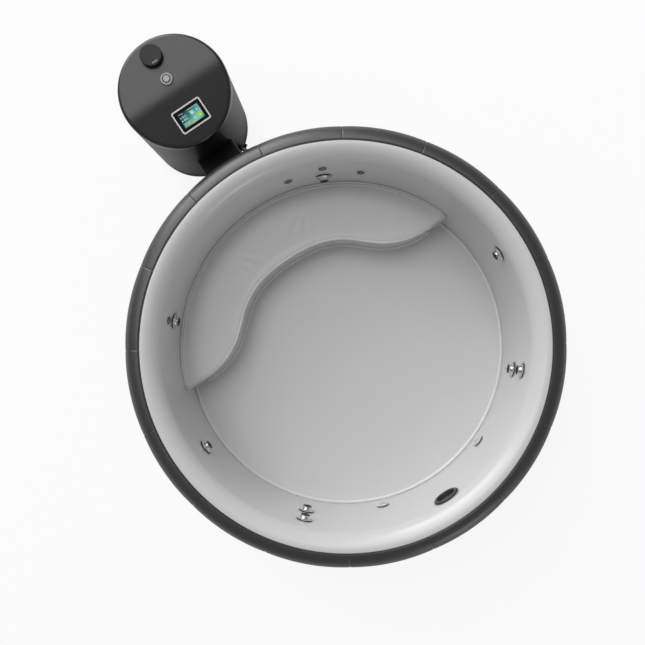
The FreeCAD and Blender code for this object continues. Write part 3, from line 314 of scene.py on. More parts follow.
def lit_backdrop(low, high):
    """The display's picture: dark blue that runs through teal and olive across the panel, lit from behind."""
    material, tree, shader = new_material("lit_panel",
                                          {"IOR": 1.5, "Roughness": 0.2, "Emission Strength": 0.4})
    place = add_node(tree, "ShaderNodeTexCoord").outputs["Object"]
    axes = add_node(tree, "ShaderNodeSeparateXYZ", {"Vector": place})
    across = add_node(tree, "ShaderNodeMapRange",
                      {"Value": axes.outputs["X"], "From Min": low.x, "From Max": high.x})
    down = add_node(tree, "ShaderNodeMapRange",
                    {"Value": axes.outputs["Y"], "From Min": high.y, "From Max": low.y})
    both = add_node(tree, "ShaderNodeMath", {0: across.outputs["Result"], 1: down.outputs["Result"]},
                    operation="ADD")
    half = add_node(tree, "ShaderNodeMath", {0: both.outputs["Value"], 1: 0.5}, operation="MULTIPLY")
    ramp = add_node(tree, "ShaderNodeValToRGB", {"Fac": half.outputs["Value"]})
    stops = ramp.color_ramp.elements
    stops[0].position = 0.14
    stops[0].color = rgba(linear("#0B2536"))
    stops[1].position = 0.98
    stops[1].color = rgba(linear("#2B8A7C"))
    for spot, tint in ((0.46, "#2B7A73"), (0.74, "#9CBC88")):
        stops.new(spot).color = rgba(linear(tint))
    tree.links.new(ramp.outputs["Color"], shader.inputs["Base Color"])
    tree.links.new(ramp.outputs["Color"], shader.inputs["Emission Color"])
    return material


def arc(centre, radius, start, end, steps):
    """Points (radius, height) along an arc, with angles in degrees from the outward direction."""
    turns = [math.radians(start + (end - start) * k / steps) for k in range(steps + 1)]
    return [(centre[0] + radius * math.cos(t), centre[1] + radius * math.sin(t)) for t in turns]


def line(start, end, steps):
    """Points from start up to, but not at, end."""
    return [(start[0] + (end[0] - start[0]) * k / steps, start[1] + (end[1] - start[1]) * k / steps)
            for k in range(steps)]


def spun(bm, profile, sweep=math.tau, steps=64, start=0.0):
    """Spins (radius, height) points about Z."""
    turn = Matrix.Rotation(start, 4, "Z")
    verts = [bm.verts.new(turn @ Vector((r, 0.0, z))) for r, z in profile]
    edges = [bm.edges.new(pair) for pair in zip(verts, verts[1:])]
    full = abs(sweep - math.tau) < 1e-6
    bmesh.ops.spin(bm, geom=verts + edges, cent=(0, 0, 0), axis=UP, angle=sweep, steps=steps, use_merge=full)
    bmesh.ops.remove_doubles(bm, verts=bm.verts[:], dist=1e-6)


def finish_mesh(bm, name, material, smooth=True):
    """Turns a bmesh into an object at the origin."""
    mesh = bpy.data.meshes.new(name)
    bm.to_mesh(mesh)
    bm.free()
    mesh.materials.append(material)
    if smooth:
        mesh.shade_smooth()
    made = bpy.data.objects.new(name, mesh)
    bpy.context.scene.collection.objects.link(made)
    return made


def face_away(bm, inside):
    """Points an open skin's faces away from the side that a test direction at each face calls inside."""
    bmesh.ops.recalc_face_normals(bm, faces=bm.faces[:])
    bm.normal_update()
    wrong = sum(1 if face.normal.dot(inside(face.calc_center_median())) > 0 else -1 for face in bm.faces)
    if wrong > 0:
        bmesh.ops.reverse_faces(bm, faces=bm.faces[:])


def thicken(made, thickness):
    """Gives a skin its thickness, on the side away from its face."""
    wall = made.modifiers.new("Thickness", "SOLIDIFY")
    wall.thickness = thickness
    wall.offset = -1.0


def dress(made, body, slot, *nodes):
    """Seats a finished piece on its body and hides the nodes that it stands for. The slot is not used."""
    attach(made, body)
    if nodes:
        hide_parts(*nodes)
    return made


def moved(bm, matrix):
    bmesh.ops.transform(bm, matrix=matrix, verts=bm.verts[:])


def facing(position, aim):
    """A place at a position whose local Z is the aim."""
    return Matrix.Translation(position) @ aim.to_track_quat("Z", "Y").to_matrix().to_4x4()


# The jacket

def jacket_line():
    """The jacket's section, as (radius, height) points from the crease over the shoulder to the hem."""
    s = sizes()
    tuck = 1.5 * mm
    hem = 8 * mm
    r0 = tub_radius - s.shoulder
    z0 = rim_height - s.shoulder
    low = jacket_low.z
    points = arc((r0 + tuck, rim_height - tuck), tuck, 180, 100, 4)
    points += arc((r0, z0), s.shoulder, 88, 0, 22)
    points += line((tub_radius, z0), (tub_radius, low + hem), 44)[1:]
    points += arc((tub_radius - hem, low + hem), hem, 0, -90, 4)
    return points


def outward(radius, height):
    """Direction away from the foam at a point of the jacket's section, as (radius, height) parts."""
    s = sizes()
    r0 = tub_radius - s.shoulder
    z0 = rim_height - s.shoulder
    if height <= z0:
        return 1.0, 0.0
    away = math.hypot(radius - r0, height - z0)
    return (radius - r0) / away, (height - z0) / away


def panel_lift(across, along):
    """A panel's lift off the foam, by the way across from its nearest seam and along the section."""
    s = sizes()
    width = math.tau * tub_radius / s.panels
    seam_width = 2.0 * mm
    pucker_pitch = 31 * mm
    pucker_reach = 22 * mm
    pucker = 0.5 * mm
    swell = s.crown * (1.0 - (1.0 - 2.0 * across / width) ** 2)
    drawn = s.seam_depth * math.exp(-(across / seam_width) ** 2)
    gather = pucker * math.exp(-across / pucker_reach) * math.sin(math.tau * along / pucker_pitch)
    return swell - drawn + gather


def lifted(radius, height, lift):
    """A point of the jacket's section, raised by the lift and, towards the side, by the ease."""
    out = outward(radius, height)
    rise = lift + sizes().ease * out[0]
    return radius + rise * out[0], height + rise * out[1]


def jacket_panel(number, material):
    """One panel between two seams, with its swell, drawn-in edges and gathers."""
    s = sizes()
    pitch = math.tau / s.panels
    gap = 0.1 * mm / tub_radius
    start = math.pi / 2 + s.seam_turn + pitch * (number - 0.5)
    section = jacket_line()
    bm = bmesh.new()
    spun(bm, section, pitch - 2 * gap, 64, start + gap)
    for vert in bm.verts:
        radius = math.hypot(vert.co.x, vert.co.y)
        turn = (math.atan2(vert.co.y, vert.co.x) - start + math.pi) % math.tau - math.pi
        share = min(1.0, max(0.0, (turn - gap) / (pitch - 2 * gap)))
        angle = gap + (pitch - 2 * gap) * (0.5 - 0.5 * math.cos(math.pi * share))
        across = min(angle, pitch - angle) * tub_radius
        r, z = lifted(radius, vert.co.z, panel_lift(across, rim_height - vert.co.z + tub_radius - radius))
        vert.co = (r * math.cos(start + angle), r * math.sin(start + angle), z)
    face_away(bm, lambda p: Vector((-p.x, -p.y, (rim_height - sizes().shoulder - p.z) * 10)))
    panel = finish_mesh(bm, f"jacket_panel_{number + 1:02d}", material)
    thicken(panel, s.skin)
    dress(panel, "tub", "leatherette", "jacket_panels")


def add_stitch(bm, place, along, out, size):
    """One stitch: a low lozenge that lies along the row."""
    side = out.cross(along)
    axes = Matrix((along * size.x, side * size.y, out * size.z)).transposed().to_4x4()
    bmesh.ops.create_icosphere(bm, subdivisions=1, radius=0.5, matrix=Matrix.Translation(place) @ axes)


def spaced_section(step):
    """Points down the jacket's section at an even step, each with its direction along the section."""
    section = jacket_line()
    found = []
    left = step
    for a, b in zip(section, section[1:]):
        run = math.dist(a, b)
        while left < run:
            share = left / run
            found.append((a[0] + (b[0] - a[0]) * share, a[1] + (b[1] - a[1]) * share,
                          (b[0] - a[0]) / run, (b[1] - a[1]) / run))
            left += step
        left -= run
    return found


def seam_stitches(material):
    """Two rows of top stitching beside each seam, and one row round the hem."""
    s = sizes()
    row = 11 * mm
    hem_row = 26 * mm
    crease_clear = 6 * mm
    stitch = Vector((0.62 * s.stitch, 1.5 * mm, 1.1 * mm))
    pitch = math.tau / s.panels
    bm = bmesh.new()
    for number in range(s.panels):
        for side in (-1, 1):
            angle = math.pi / 2 + s.seam_turn + pitch * (number - 0.5) + side * row / tub_radius
            flat = Vector((math.cos(angle), math.sin(angle), 0.0))
            for radius, height, dr, dz in spaced_section(s.stitch):
                if height > rim_height - crease_clear or height < jacket_low.z + hem_row:
                    continue
                lift = panel_lift(row, rim_height - height + tub_radius - radius)
                r, z = lifted(radius, height, lift)
                out = outward(radius, height)
                add_stitch(bm, flat * r + UP * z, flat * dr + UP * dz, flat * out[0] + UP * out[1], stitch)
    count = int(math.tau * tub_radius / s.stitch)
    for k in range(count):
        angle = math.tau * k / count
        flat = Vector((math.cos(angle), math.sin(angle), 0.0))
        turn = (angle - math.pi / 2 - s.seam_turn + pitch / 2) % pitch
        across = min(turn, pitch - turn) * tub_radius
        lift = panel_lift(across, rim_height - jacket_low.z - hem_row)
        r, _ = lifted(tub_radius, jacket_low.z + hem_row, lift)
        add_stitch(bm, flat * r + UP * (jacket_low.z + hem_row), UP.cross(flat), flat, stitch)
    dress(finish_mesh(bm, "jacket_stitching", material), "tub", "leatherette")


class HOTTUB_OT_jacket(bpy.types.Operator):
    """Sew the jacket's panels and their top stitching"""
    bl_idname = "hot_tub.jacket"
    bl_label = "Jacket"

    def execute(self, context):
        skin = leatherette()
        for number in range(sizes().panels):
            jacket_panel(number, skin)
        seam_stitches(thread())
        return {"FINISHED"}


# The basin

def wall_radius(height):
    """Radius of the basin's wall at a height."""
    s = sizes()
    crest = tub_radius - s.shoulder - s.rim_flat
    lip_start = rim_height - s.lip * (1.0 - math.sin(s.wall_draft))
    return crest - s.lip * math.cos(s.wall_draft) - (lip_start - height) * math.tan(s.wall_draft)


def ridge(low, high, height, base, steps):
    """A soft weld bead between two radii."""
    points = []
    for k in range(steps + 1):
        share = k / steps
        points.append((low + (high - low) * share, base + height * math.sin(math.pi * share) ** 1.4))
    return points


def liner_line():
    """The liner's section from the floor's middle, up the wall and over the lip to the crease."""
    s = sizes()
    tuck = 2.5 * mm
    floor = s.floor_height
    crest = tub_radius - s.shoulder - s.rim_flat
    edge = tub_radius - s.shoulder - 2 * s.piping - 0.5 * mm
    lean = math.degrees(s.wall_draft)
    lip_start = rim_height - s.lip * (1.0 - math.sin(s.wall_draft))
    cove = 6 * mm
    foot = wall_radius(floor + cove)
    points = line((0.0, floor), (foot - cove, floor), 10)
    points += arc((foot - cove, floor + cove), cove, -90, 0, 5)
    points += line((foot, floor + cove), (wall_radius(lip_start), lip_start), 40)[1:]
    points += arc((crest, rim_height - s.lip), s.lip, 180 - lean, 90, 20)
    points += line((crest, rim_height), (edge - tuck, rim_height), 4)[1:]
    points += arc((edge - tuck, rim_height - tuck), tuck, 90, 0, 5)
    return points


def islands(node):
    """The middle of each separate solid of a CAD node."""
    bm = node_copy(node)
    left = set(bm.verts)
    middles = []
    while left:
        group = [left.pop()]
        for vert in group:
            for edge in vert.link_edges:
                other = edge.other_vert(vert)
                if other in left:
                    left.remove(other)
                    group.append(other)
        middles.append(sum((v.co for v in group), Vector()) / len(group))
    bm.free()
    return middles


def pierce(bm, middle, radius):
    """Opens a round hole in the basin's wall about a fitting."""
    lean = sizes().wall_draft
    flat = Vector((middle.x, middle.y, 0.0)).normalized()
    axis = UP * math.sin(lean) - flat * math.cos(lean)
    reach = radius + 60 * mm

    def off(vert):
        away = vert.co - middle
        return away - axis * away.dot(axis)

    near = [v for v in bm.verts if (v.co - middle).length < reach]
    inside = [v for v in near if off(v).length < radius] or [min(near, key=lambda v: off(v).length)]
    rim = {v for vert in inside for face in vert.link_faces for v in face.verts} - set(inside)
    for vert in rim:
        away = off(vert)
        vert.co += away.normalized() * radius - away
    bmesh.ops.delete(bm, geom=inside, context="VERTS")


def make_liner(material):
    """The liner, with a hole behind every fitting."""
    jet_hole = 27 * mm
    filter_hole = 56 * mm
    small_holes = {"air_injectors": 12 * mm, "suction_covers": 19 * mm}
    bm = bmesh.new()
    spun(bm, liner_line(), steps=384)
    for name, joint in joints.items():
        if name.startswith("jet_face"):
            pierce(bm, Vector(joint["pos_m"]), jet_hole)
        elif name.startswith("filter"):
            pierce(bm, Vector(joint["pos_m"]), filter_hole)
    for node, radius in small_holes.items():
        for middle in islands(node):
            pierce(bm, middle, radius)
    face_away(bm, lambda p: Vector((p.x, p.y, -0.5)))
    skin = finish_mesh(bm, "basin_liner", material)
    thicken(skin, sizes().skin)
    dress(skin, "tub", "liner", "liner", "liner_beads")


def make_piping(material):
    """Round piping in the crease between the liner and the jacket."""
    s = sizes()
    middle = tub_radius - s.shoulder - s.piping
    bm = bmesh.new()
    ring = arc((middle, rim_height - s.piping), s.piping, 0, 360, 12)
    spun(bm, ring, steps=288)
    bmesh.ops.recalc_face_normals(bm, faces=bm.faces[:])
    dress(finish_mesh(bm, "rim_piping", material), "tub", "welt", "rim_welt")


def node_copy(node):
    """A merged copy of a CAD node's mesh."""
    bm = bmesh.new()
    bm.from_mesh(frame["nodes"][node].data)
    bmesh.ops.remove_doubles(bm, verts=bm.verts[:], dist=1e-6)
    return bm


def seat_front():
    """The seat's front in plan, read from the CAD seat at half its height, from -X to +X."""
    bm = node_copy("bench_seat")
    level = (seat_low.z + seat_high.z) / 2
    cut = bmesh.ops.bisect_plane(bm, geom=bm.verts[:] + bm.edges[:] + bm.faces[:], plane_co=UP * level,
                                 plane_no=UP)
    spots = [v.co.copy() for v in cut["geom_cut"] if isinstance(v, bmesh.types.BMVert)]
    bm.free()
    wall_clear = 4 * mm
    front = [p for p in spots if math.hypot(p.x, p.y) < wall_radius(level) - wall_clear]
    return sorted(front, key=lambda p: p.x)


def remeshed(bm, name, voxel):
    """The shape again as one even skin of small faces."""
    rough = finish_mesh(bm, name, None)
    even = rough.modifiers.new("Even", "REMESH")
    even.mode = "VOXEL"
    even.voxel_size = voxel
    view = bpy.context.evaluated_depsgraph_get()
    mesh = bpy.data.meshes.new_from_object(rough.evaluated_get(view))
    bpy.data.objects.remove(rough)
    result = bmesh.new()
    result.from_mesh(mesh)
    bpy.data.meshes.remove(mesh)
    return result


def make_bench(material):
    """The seat pad: the CAD seat with softened edges, a slight crown and two fans of faint folds."""
    voxel = 5.5 * mm
    softening = 3
    top_layer = 6 * mm
    crown = 4 * mm
    crown_share = 1.0 / 3.2
    fold = 0.5 * mm
    folds_round = 21.0
    fan_x = 254 * mm
    fan_y = 741 * mm
    fan_reach = 160 * mm
    fan_depth = 50 * mm
    fan_turn = math.radians(-57)
    fan_spread = math.radians(28)
    bm = remeshed(node_copy("bench_seat"), "bench_shape", voxel)
    for _ in range(softening):
        bmesh.ops.smooth_vert(bm, verts=bm.verts[:], factor=0.5, use_axis_x=True, use_axis_y=True,
                              use_axis_z=True)
    top = seat_high.z
    for vert in bm.verts:
        if vert.co.z < top - top_layer:
            continue
        radius = math.hypot(vert.co.x, vert.co.y)
        back = (wall_radius(top) - radius) / wall_radius(top)
        vert.co.z += crown * math.sin(math.pi * min(1.0, back / crown_share))
        away = Vector((fan_x - abs(vert.co.x), vert.co.y - fan_y))
        turn = math.atan2(away.y, away.x)
        reach = ((away.length - fan_reach) / fan_depth) ** 2 + ((turn - fan_turn) / fan_spread) ** 2
        vert.co.z += fold * math.exp(-reach) * math.sin(folds_round * turn)
    bmesh.ops.recalc_face_normals(bm, faces=bm.faces[:])
    pad = finish_mesh(bm, "bench_pad", material)
    dress(pad, "tub", "liner", "bench_seat")


def cord_along(points, radius, name):
    """A round cord along a line of points."""
    shape = bpy.data.curves.new(name, "CURVE")
    shape.dimensions = "3D"
    shape.bevel_depth = radius
    shape.bevel_resolution = 4
    spline = shape.splines.new("POLY")
    spline.points.add(len(points) - 1)
    for spot, point in zip(spline.points, points):
        spot.co = (*point, 1.0)
    tube = bpy.data.objects.new(name, shape)
    bpy.context.scene.collection.objects.link(tube)
    view = bpy.context.evaluated_depsgraph_get()
    mesh = bpy.data.meshes.new_from_object(tube.evaluated_get(view))
    bpy.data.objects.remove(tube)
    bm = bmesh.new()
    bm.from_mesh(mesh)
    bpy.data.meshes.remove(mesh)
    return bm


def closed_bead(bm, name, material):
    """Closes a bead's ends and seats it on the tub in place of the frame's liner beads."""
    bmesh.ops.holes_fill(bm, edges=[e for e in bm.edges if e.is_boundary], sides=0)
    bmesh.ops.recalc_face_normals(bm, faces=bm.faces[:])
    return dress(finish_mesh(bm, name, material), "tub", "liner", "liner_beads")


def beside(front, step, height):
    """The seat's front line, that far out from the seat and at a height."""
    spots = []
    for before, here, after in zip(front, front[1:], front[2:]):
        spot = here + (after - before).normalized().cross(UP) * step
        spots.append(Vector((spot.x, spot.y, height)))
    return spots


def make_floor_bead(material):
    """The half-round bead in the corner of floor and wall, from one end of the seat to the other."""
    s = sizes()
    middle = wall_radius(s.floor_height) - s.bead - 0.5 * mm
    sunk = s.floor_height - 1 * mm
    section = arc((middle, s.floor_height), s.bead, 0, 180, 14)
    section = [(middle + s.bead, sunk), *section, (middle - s.bead, sunk), (middle + s.bead, sunk)]
    start = math.pi - math.asin((seat_low.y + s.bead) / middle)
    bm = bmesh.new()
    spun(bm, section, math.tau - 2 * (start - math.pi / 2), 256, start)
    closed_bead(bm, "floor_bead", material)


def make_seat_beads(material):
    """The cord along the seat's edge, the bead at its foot and the double bead at its back."""
    s = sizes()
    cord = 6.5 * mm
    proud = 0.5 * mm
    width = 12 * mm
    edge_round = 14 * mm
    front = seat_front()
    foot = cord_along(beside(front, 0.4 * s.bead, s.floor_height), s.bead, "seat_foot_bead")
    bmesh.ops.bisect_plane(foot, geom=foot.verts[:] + foot.edges[:] + foot.faces[:],
                           plane_co=UP * (s.floor_height - 0.5 * mm), plane_no=UP, clear_inner=True)
    closed_bead(foot, "seat_foot_bead", material)
    top = seat_high.z
    edge = cord_along(beside(front, proud - cord, top + proud - cord), cord, "seat_edge_cord")
    closed_bead(edge, "seat_edge_cord", material)
    back = wall_radius(top)
    twin = ridge(back - 2 * width, back - width, s.seat_bead, top, 10)
    twin += ridge(back - width, back, s.seat_bead, top, 10)[1:]
    reach = math.acos((seat_low.y + edge_round) / (back - 2 * width))
    bm = bmesh.new()
    spun(bm, twin, 2 * reach, 128, math.pi / 2 - reach)
    face_away(bm, lambda p: -UP)
    bead = finish_mesh(bm, "seat_back_bead", material)
    thicken(bead, s.skin)
    dress(bead, "tub", "liner", "liner_beads")


class HOTTUB_OT_basin(bpy.types.Operator):
    """Line the basin, pad the bench and lay the weld beads and the piping"""
    bl_idname = "hot_tub.basin"
    bl_label = "Basin"

    def execute(self, context):
        skin = vinyl()
        make_liner(skin)
        make_bench(skin)
        cord = welding_cord()
        make_floor_bead(cord)
        make_seat_beads(cord)
        make_piping(leatherette())
        return {"FINISHED"}


# Jets

class HOTTUB_OT_jets(bpy.types.Operator):
    """Set a dark outlet in each jet's nozzle"""
    bl_idname = "hot_tub.jets"
    bl_label = "Jets"

    def execute(self, context):
        dark = moulded("outlet_black_abs", linear("#0C0C0D"), 0.45, 1.2 * mm)
        mouth = 24 * mm
        section = [(6, -9), (6, 0.6), (8, 1.4), (19.5, 1.4), (21, 0.4), (21, 0.1), (18.6, 0.1), (14.5, -8.5)]
        for name, joint in joints.items():
            if not name.startswith("jet_nozzle"):
                continue
            face = joints[name.replace("nozzle", "face").replace("tilt", "turn")]
            bm = bmesh.new()
            ring = [(r * mm, mouth + z * mm) for r, z in section + section[:1]]
            spun(bm, ring, steps=40)
            bmesh.ops.recalc_face_normals(bm, faces=bm.faces[:])
            moved(bm, facing(Vector(joint["pos_m"]), Vector(face["axis"])))
            outlet = finish_mesh(bm, joint["child"].replace("nozzle", "outlet"), dark, smooth=False)
            dress(outlet, joint["child"], "fitting")
        return {"FINISHED"}


# Pump unit

class HOTTUB_OT_knob(bpy.types.Operator):
    """Make the fluted air knob and its pointer"""
    bl_idname = "hot_tub.knob"
    bl_label = "Air knob"

    def execute(self, context):
        middle = (knob_low + knob_high) / 2
        radius = (knob_high.x - knob_low.x) / 2
        top = knob_high.z
        low = cover_high.z + 0.5 * mm
        edge = 2.5 * mm
        shaft = 6 * mm
        flute_depth = 0.9 * mm
        flutes = 60
        section = [(0.0, knob_low.z), (shaft, knob_low.z), (shaft, low), (radius - 1.5 * mm, low)]
        section += [(radius, low + 1.5 * mm), (radius, low + 6 * mm)]
        section += [(radius, top - 6 * mm), (radius, top - edge)]
        section += arc((radius - edge, top - edge), edge, 15, 90, 5)
        section += [(radius - 7 * mm, top), (radius * 0.5, top - 0.3 * mm), (0.0, top - 0.4 * mm)]
        bm = bmesh.new()
        spun(bm, section, steps=flutes * 4)
        for vert in bm.verts:
            outer = math.hypot(vert.co.x, vert.co.y) > radius - mm
            if outer and low + 2 * mm < vert.co.z < top - 5 * mm:
                turn = math.atan2(vert.co.y, vert.co.x)
                vert.co.xy *= 1.0 - flute_depth / radius * (0.5 - 0.5 * math.cos(turn * flutes))
        bmesh.ops.recalc_face_normals(bm, faces=bm.faces[:])
        moved(bm, Matrix.Translation((middle.x, middle.y, 0.0)))
        grip = moulded("soft_touch_knob", colours().knob, 0.55, 1.5 * mm, level=0.4)
        dress(finish_mesh(bm, "air_knob_grip", grip), "air_knob", "knob", "air_knob")

        mark = Vector((28 * mm, 8 * mm, 1.2 * mm))
        spot = Vector((middle.x, middle.y - radius + 13 * mm, top - 0.2 * mm))
        bm = bmesh.new()
        bmesh.ops.create_cube(bm, size=1.0, matrix=Matrix.Translation(spot) @ Matrix.Diagonal((*mark, 1.0)))
        bmesh.ops.bevel(bm, geom=bm.edges[:], offset=0.4 * mm, affect="EDGES", segments=2, profile=0.5,
                        material=-1)
        ink = moulded("pointer_grey_abs", linear("#77797B"), 0.5, 1.2 * mm)
        dress(finish_mesh(bm, "air_knob_pointer", ink), "air_knob", "silver_trim")
        return {"FINISHED"}


class HOTTUB_OT_button(bpy.types.Operator):
    """Give the button's spring its own copy of the frame's coil, in spring wire"""
    bl_idname = "hot_tub.button"
    bl_label = "Button spring"

    def execute(self, context):
        wire = metal("spring_wire", linear("#B4B5B4"), 0.28, 0.8 * mm)
        coil = finish_mesh(node_copy("button_spring"), "button_coil", wire)
        dress(coil, "tub", "spring_steel", "button_spring")
        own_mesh(coil)
        return {"FINISHED"}


def display_place():
    """The display's plane, with local X to the right and local Y up as a bather sees it."""
    pump_slope = math.radians(12.0)
    middle = (glass_low + glass_high) / 2
    tilt = Matrix.Rotation(pump_slope, 4, "X")
    half = 1.75 * mm
    return Matrix.Translation(middle) @ tilt @ Matrix.Translation((0, 0, half))


def screen_piece(bm, name, material, rise):
    """Seats a flat piece of the picture that far over the glass."""
    moved(bm, display_place() @ Matrix.Translation((0, 0, rise)))
    return dress(finish_mesh(bm, name, material, smooth=False), "tub", "screen_glass")


def rounded_tile(bm, middle, size, corner):
    """A flat tile with round corners."""
    half = Matrix.Diagonal((size[0] / 2, size[1] / 2, 1.0, 1.0))
    place = Matrix.Translation((middle[0], middle[1], 0.0)) @ half
    tile = bmesh.ops.create_grid(bm, x_segments=1, y_segments=1, size=1.0, matrix=place)
    bmesh.ops.bevel(bm, geom=tile["verts"], offset=corner, affect="VERTICES", segments=4, profile=0.5,
                    material=-1)


def lettered(text, size, middle):
    """Plain figures as a flat mesh."""
    words = bpy.data.curves.new("figures", "FONT")
    words.body = text
    words.size = size
    words.align_x = "LEFT"
    words.align_y = "CENTER"
    holder = bpy.data.objects.new("figures", words)
    bpy.context.scene.collection.objects.link(holder)
    view = bpy.context.evaluated_depsgraph_get()
    mesh = bpy.data.meshes.new_from_object(holder.evaluated_get(view))
    bpy.data.objects.remove(holder)
    mesh.transform(Matrix.Translation((middle[0], middle[1], 0.0)))
    return mesh


class HOTTUB_OT_display(bpy.types.Operator):
    """Light the display with a plain layout of figures and round buttons"""
    bl_idname = "hot_tub.display"
    bl_label = "Display"

    def execute(self, context):
        wide = 104 * mm
        tall = 66 * mm
        step = 0.15 * mm
        bm = bmesh.new()
        rounded_tile(bm, (0, 0), (wide, tall), 1.5 * mm)
        place = display_place()
        low = place @ Vector((-wide / 2, -tall / 2, 0))
        high = place @ Vector((wide / 2, tall / 2, 0))
        screen_piece(bm, "screen_panel", lit_backdrop(low, high), step)

        button_r = 10.5 * mm
        tints = [("#7CC4AE", 12, 10), ("#4A93D2", 37, 10), ("#5CB2D0", 12, -16), ("#84BE58", 37, -16)]
        for number, (tint, x, y) in enumerate(tints, 1):
            bm = bmesh.new()
            bmesh.ops.create_circle(bm, cap_ends=True, segments=40, radius=button_r,
                                    matrix=Matrix.Translation((x * mm, y * mm, 0)))
            ink = lit_ink(f"lit_button_{number}", linear(tint), 0.4)
            screen_piece(bm, f"screen_button_{number}", ink, 2 * step)

        white = lit_ink("lit_white", linear("#D3E2DB"), 0.45)
        bm = bmesh.new()
        dots = [(-45, 13, 2.6), (-45, -1, 2.6)] + [(x, y, 3.2) for _, x, y in tints]
        for x, y, r in dots:
            bmesh.ops.create_circle(bm, cap_ends=True, segments=24, radius=r * mm,
                                    matrix=Matrix.Translation((x * mm, y * mm, 0)))
        for x, y, w in [(-30, -15, 34), (-32, -20, 30), (-34, -25, 26), (22, 29, 52), (-37, 29, 22)]:
            rounded_tile(bm, (x * mm, y * mm), (w * mm, 1.3 * mm), 0.5 * mm)
        for text, size, x, y in [("36.5", 12, -38, 13), ("40.0", 12, -38, -1)]:
            figures = lettered(text, size * mm, (x * mm, y * mm))
            bm.from_mesh(figures)
            bpy.data.meshes.remove(figures)
        screen_piece(bm, "screen_figures", white, 3 * step)

        bm = bmesh.new()
        bmesh.ops.create_circle(bm, cap_ends=True, segments=24, radius=2.4 * mm,
                                matrix=Matrix.Translation((2.7 * mm, 18.5 * mm, 0)))
        screen_piece(bm, "screen_alert", lit_ink("lit_orange", linear("#E08A4E"), 0.5), 3 * step)
        return {"FINISHED"}


class HOTTUB_OT_finishes(bpy.types.Operator):
    """Give every piece of the frame its finish, with painted shade on the bridge cover"""
    bl_idname = "hot_tub.finishes"
    bl_label = "Finishes"

    def execute(self, context):
        casing = moulded("textured_charcoal_abs", colours().casing, 0.29, 2.2 * mm, level=0.6)
        drum = moulded("matt_charcoal_abs", colours().casing, 0.40, 2.2 * mm, level=0.45)
        # The bridge cover's near-black, darker and duller than the casing, is painted shade for the shadowed
        # slot between the pump and the tub.
        bridge_painted_shade = moulded("painted_shade_abs", linear("#0D0D0D"), 0.42, 2.2 * mm, level=0.25)
        fitting = moulded("glass_filled_nylon", linear("#1E1F20"), 0.5, 1.5 * mm)
        intake = moulded("intake_grey_abs", linear("#3A3C3E"), 0.45, 1.5 * mm)
        pale = moulded("pale_abs", linear("#CFCFCF"), 0.4, 1.5 * mm)
        pipe = moulded("rigid_pvc_pipe", linear("#D5D6D4"), 0.4, 2 * mm)
        hose = rubber("ribbed_hose_rubber", linear("#3C3D3F"))
        seal = rubber("moulded_rubber", linear("#151515"))
        chrome = metal("chrome_plate", linear("#D9DADB"), 0.09, 1.5 * mm)
        tinted = metal("smoked_chrome_plate", linear("#77787A"), 0.12, 1.5 * mm)
        bright = moulded("bright_silver_paint", linear("#E2E3E4"), 0.30, 1.2 * mm)
        satin = moulded("satin_silver_paint", linear("#A8A9AA"), 0.38, 1.2 * mm)
        steel = metal("drawn_stainless", linear("#B4B5B4"), 0.28, 0.8 * mm)
        enamel = moulded("baked_enamel", linear("#2D2F31"), 0.35, 3 * mm)
        board = moulded("boxed_electronics_abs", linear("#26332B"), 0.55, 1.8 * mm)
        groups = [
            (casing, "pump_top_cover"),
            (drum, "pump_base pump_housing"),
            (bridge_painted_shade, "bridge_cover"),
            (fitting, "wall_fitting_bodies fitting_locknuts air_valve motor_cradle impeller hose_unions "
                      "drain_tap"),
            (intake, "filter_housing filter_cap"),
            (pale, "suction_covers drain_handle"),
            (pipe, "water_ring_pipe suction_ring_pipe air_ring_pipe pump_pipes"),
            (hose, "fitting_hoses"),
            (seal, "fitting_gaskets pump_feet cable_gland"),
            (tinted, "air_injectors"),
            (bright, "display_frame"),
            (satin, "button_bezel power_button"),
            (steel, "heater_tube button_spring"),
            (enamel, "motor volute"),
            (board, "control_box display_board"),
            (cover_glass(), "display_glass"),
            (pleated_paper(), "filter_cartridge"),
            (foam(), "floor_foam_pad wall_foam_core"),
            (woven_sheet(), "ground_sheet")]
        for material, names in groups:
            for name in names.split():
                self.coat(name, material)
        for name in frame["nodes"]:
            if name.startswith("jet_"):
                self.coat(name, chrome)
        return {"FINISHED"}

    def coat(self, name, material):
        data = frame["nodes"][name].data
        data.materials.clear()
        data.materials.append(material)


# Stage

def white_share(tree, direct, mirrored):
    """How white the backdrop is, for the camera's own rays and for mirrored or transmitted ones."""
    path = add_node(tree, "ShaderNodeLightPath").outputs
    bent = add_node(tree, "ShaderNodeMath", {0: path["Is Glossy Ray"], 1: path["Is Transmission Ray"]},
                    operation="MAXIMUM")
    part = add_node(tree, "ShaderNodeMath", {0: bent.outputs["Value"], 1: mirrored}, operation="MULTIPLY")
    both = add_node(tree, "ShaderNodeMath", {0: path["Is Camera Ray"], 1: direct, 2: part.outputs["Value"]},
                    operation="MULTIPLY_ADD")
    return both.outputs["Value"]


def make_floor():
    size = 60.0
    bm = bmesh.new()
    bmesh.ops.create_grid(bm, x_segments=1, y_segments=1, size=size / 2)
    paint = {"Base Color": rgba(linear("#EDEDED")), "Roughness": 0.9, "Specular IOR Level": 0.0}
    material, tree, shader = new_material("pale_floor", paint)
    glow = add_node(tree, "ShaderNodeEmission", {"Color": (1, 1, 1, 1), "Strength": 1.0})
    share = white_share(tree, 0.9, 0.1)
    mix = add_node(tree, "ShaderNodeMixShader", {0: share, 1: shader.outputs["BSDF"],
                                                 2: glow.outputs["Emission"]})
    tree.links.new(mix.outputs["Shader"], tree.nodes["Material Output"].inputs["Surface"])
    floor = finish_mesh(bm, "floor", material, smooth=False)


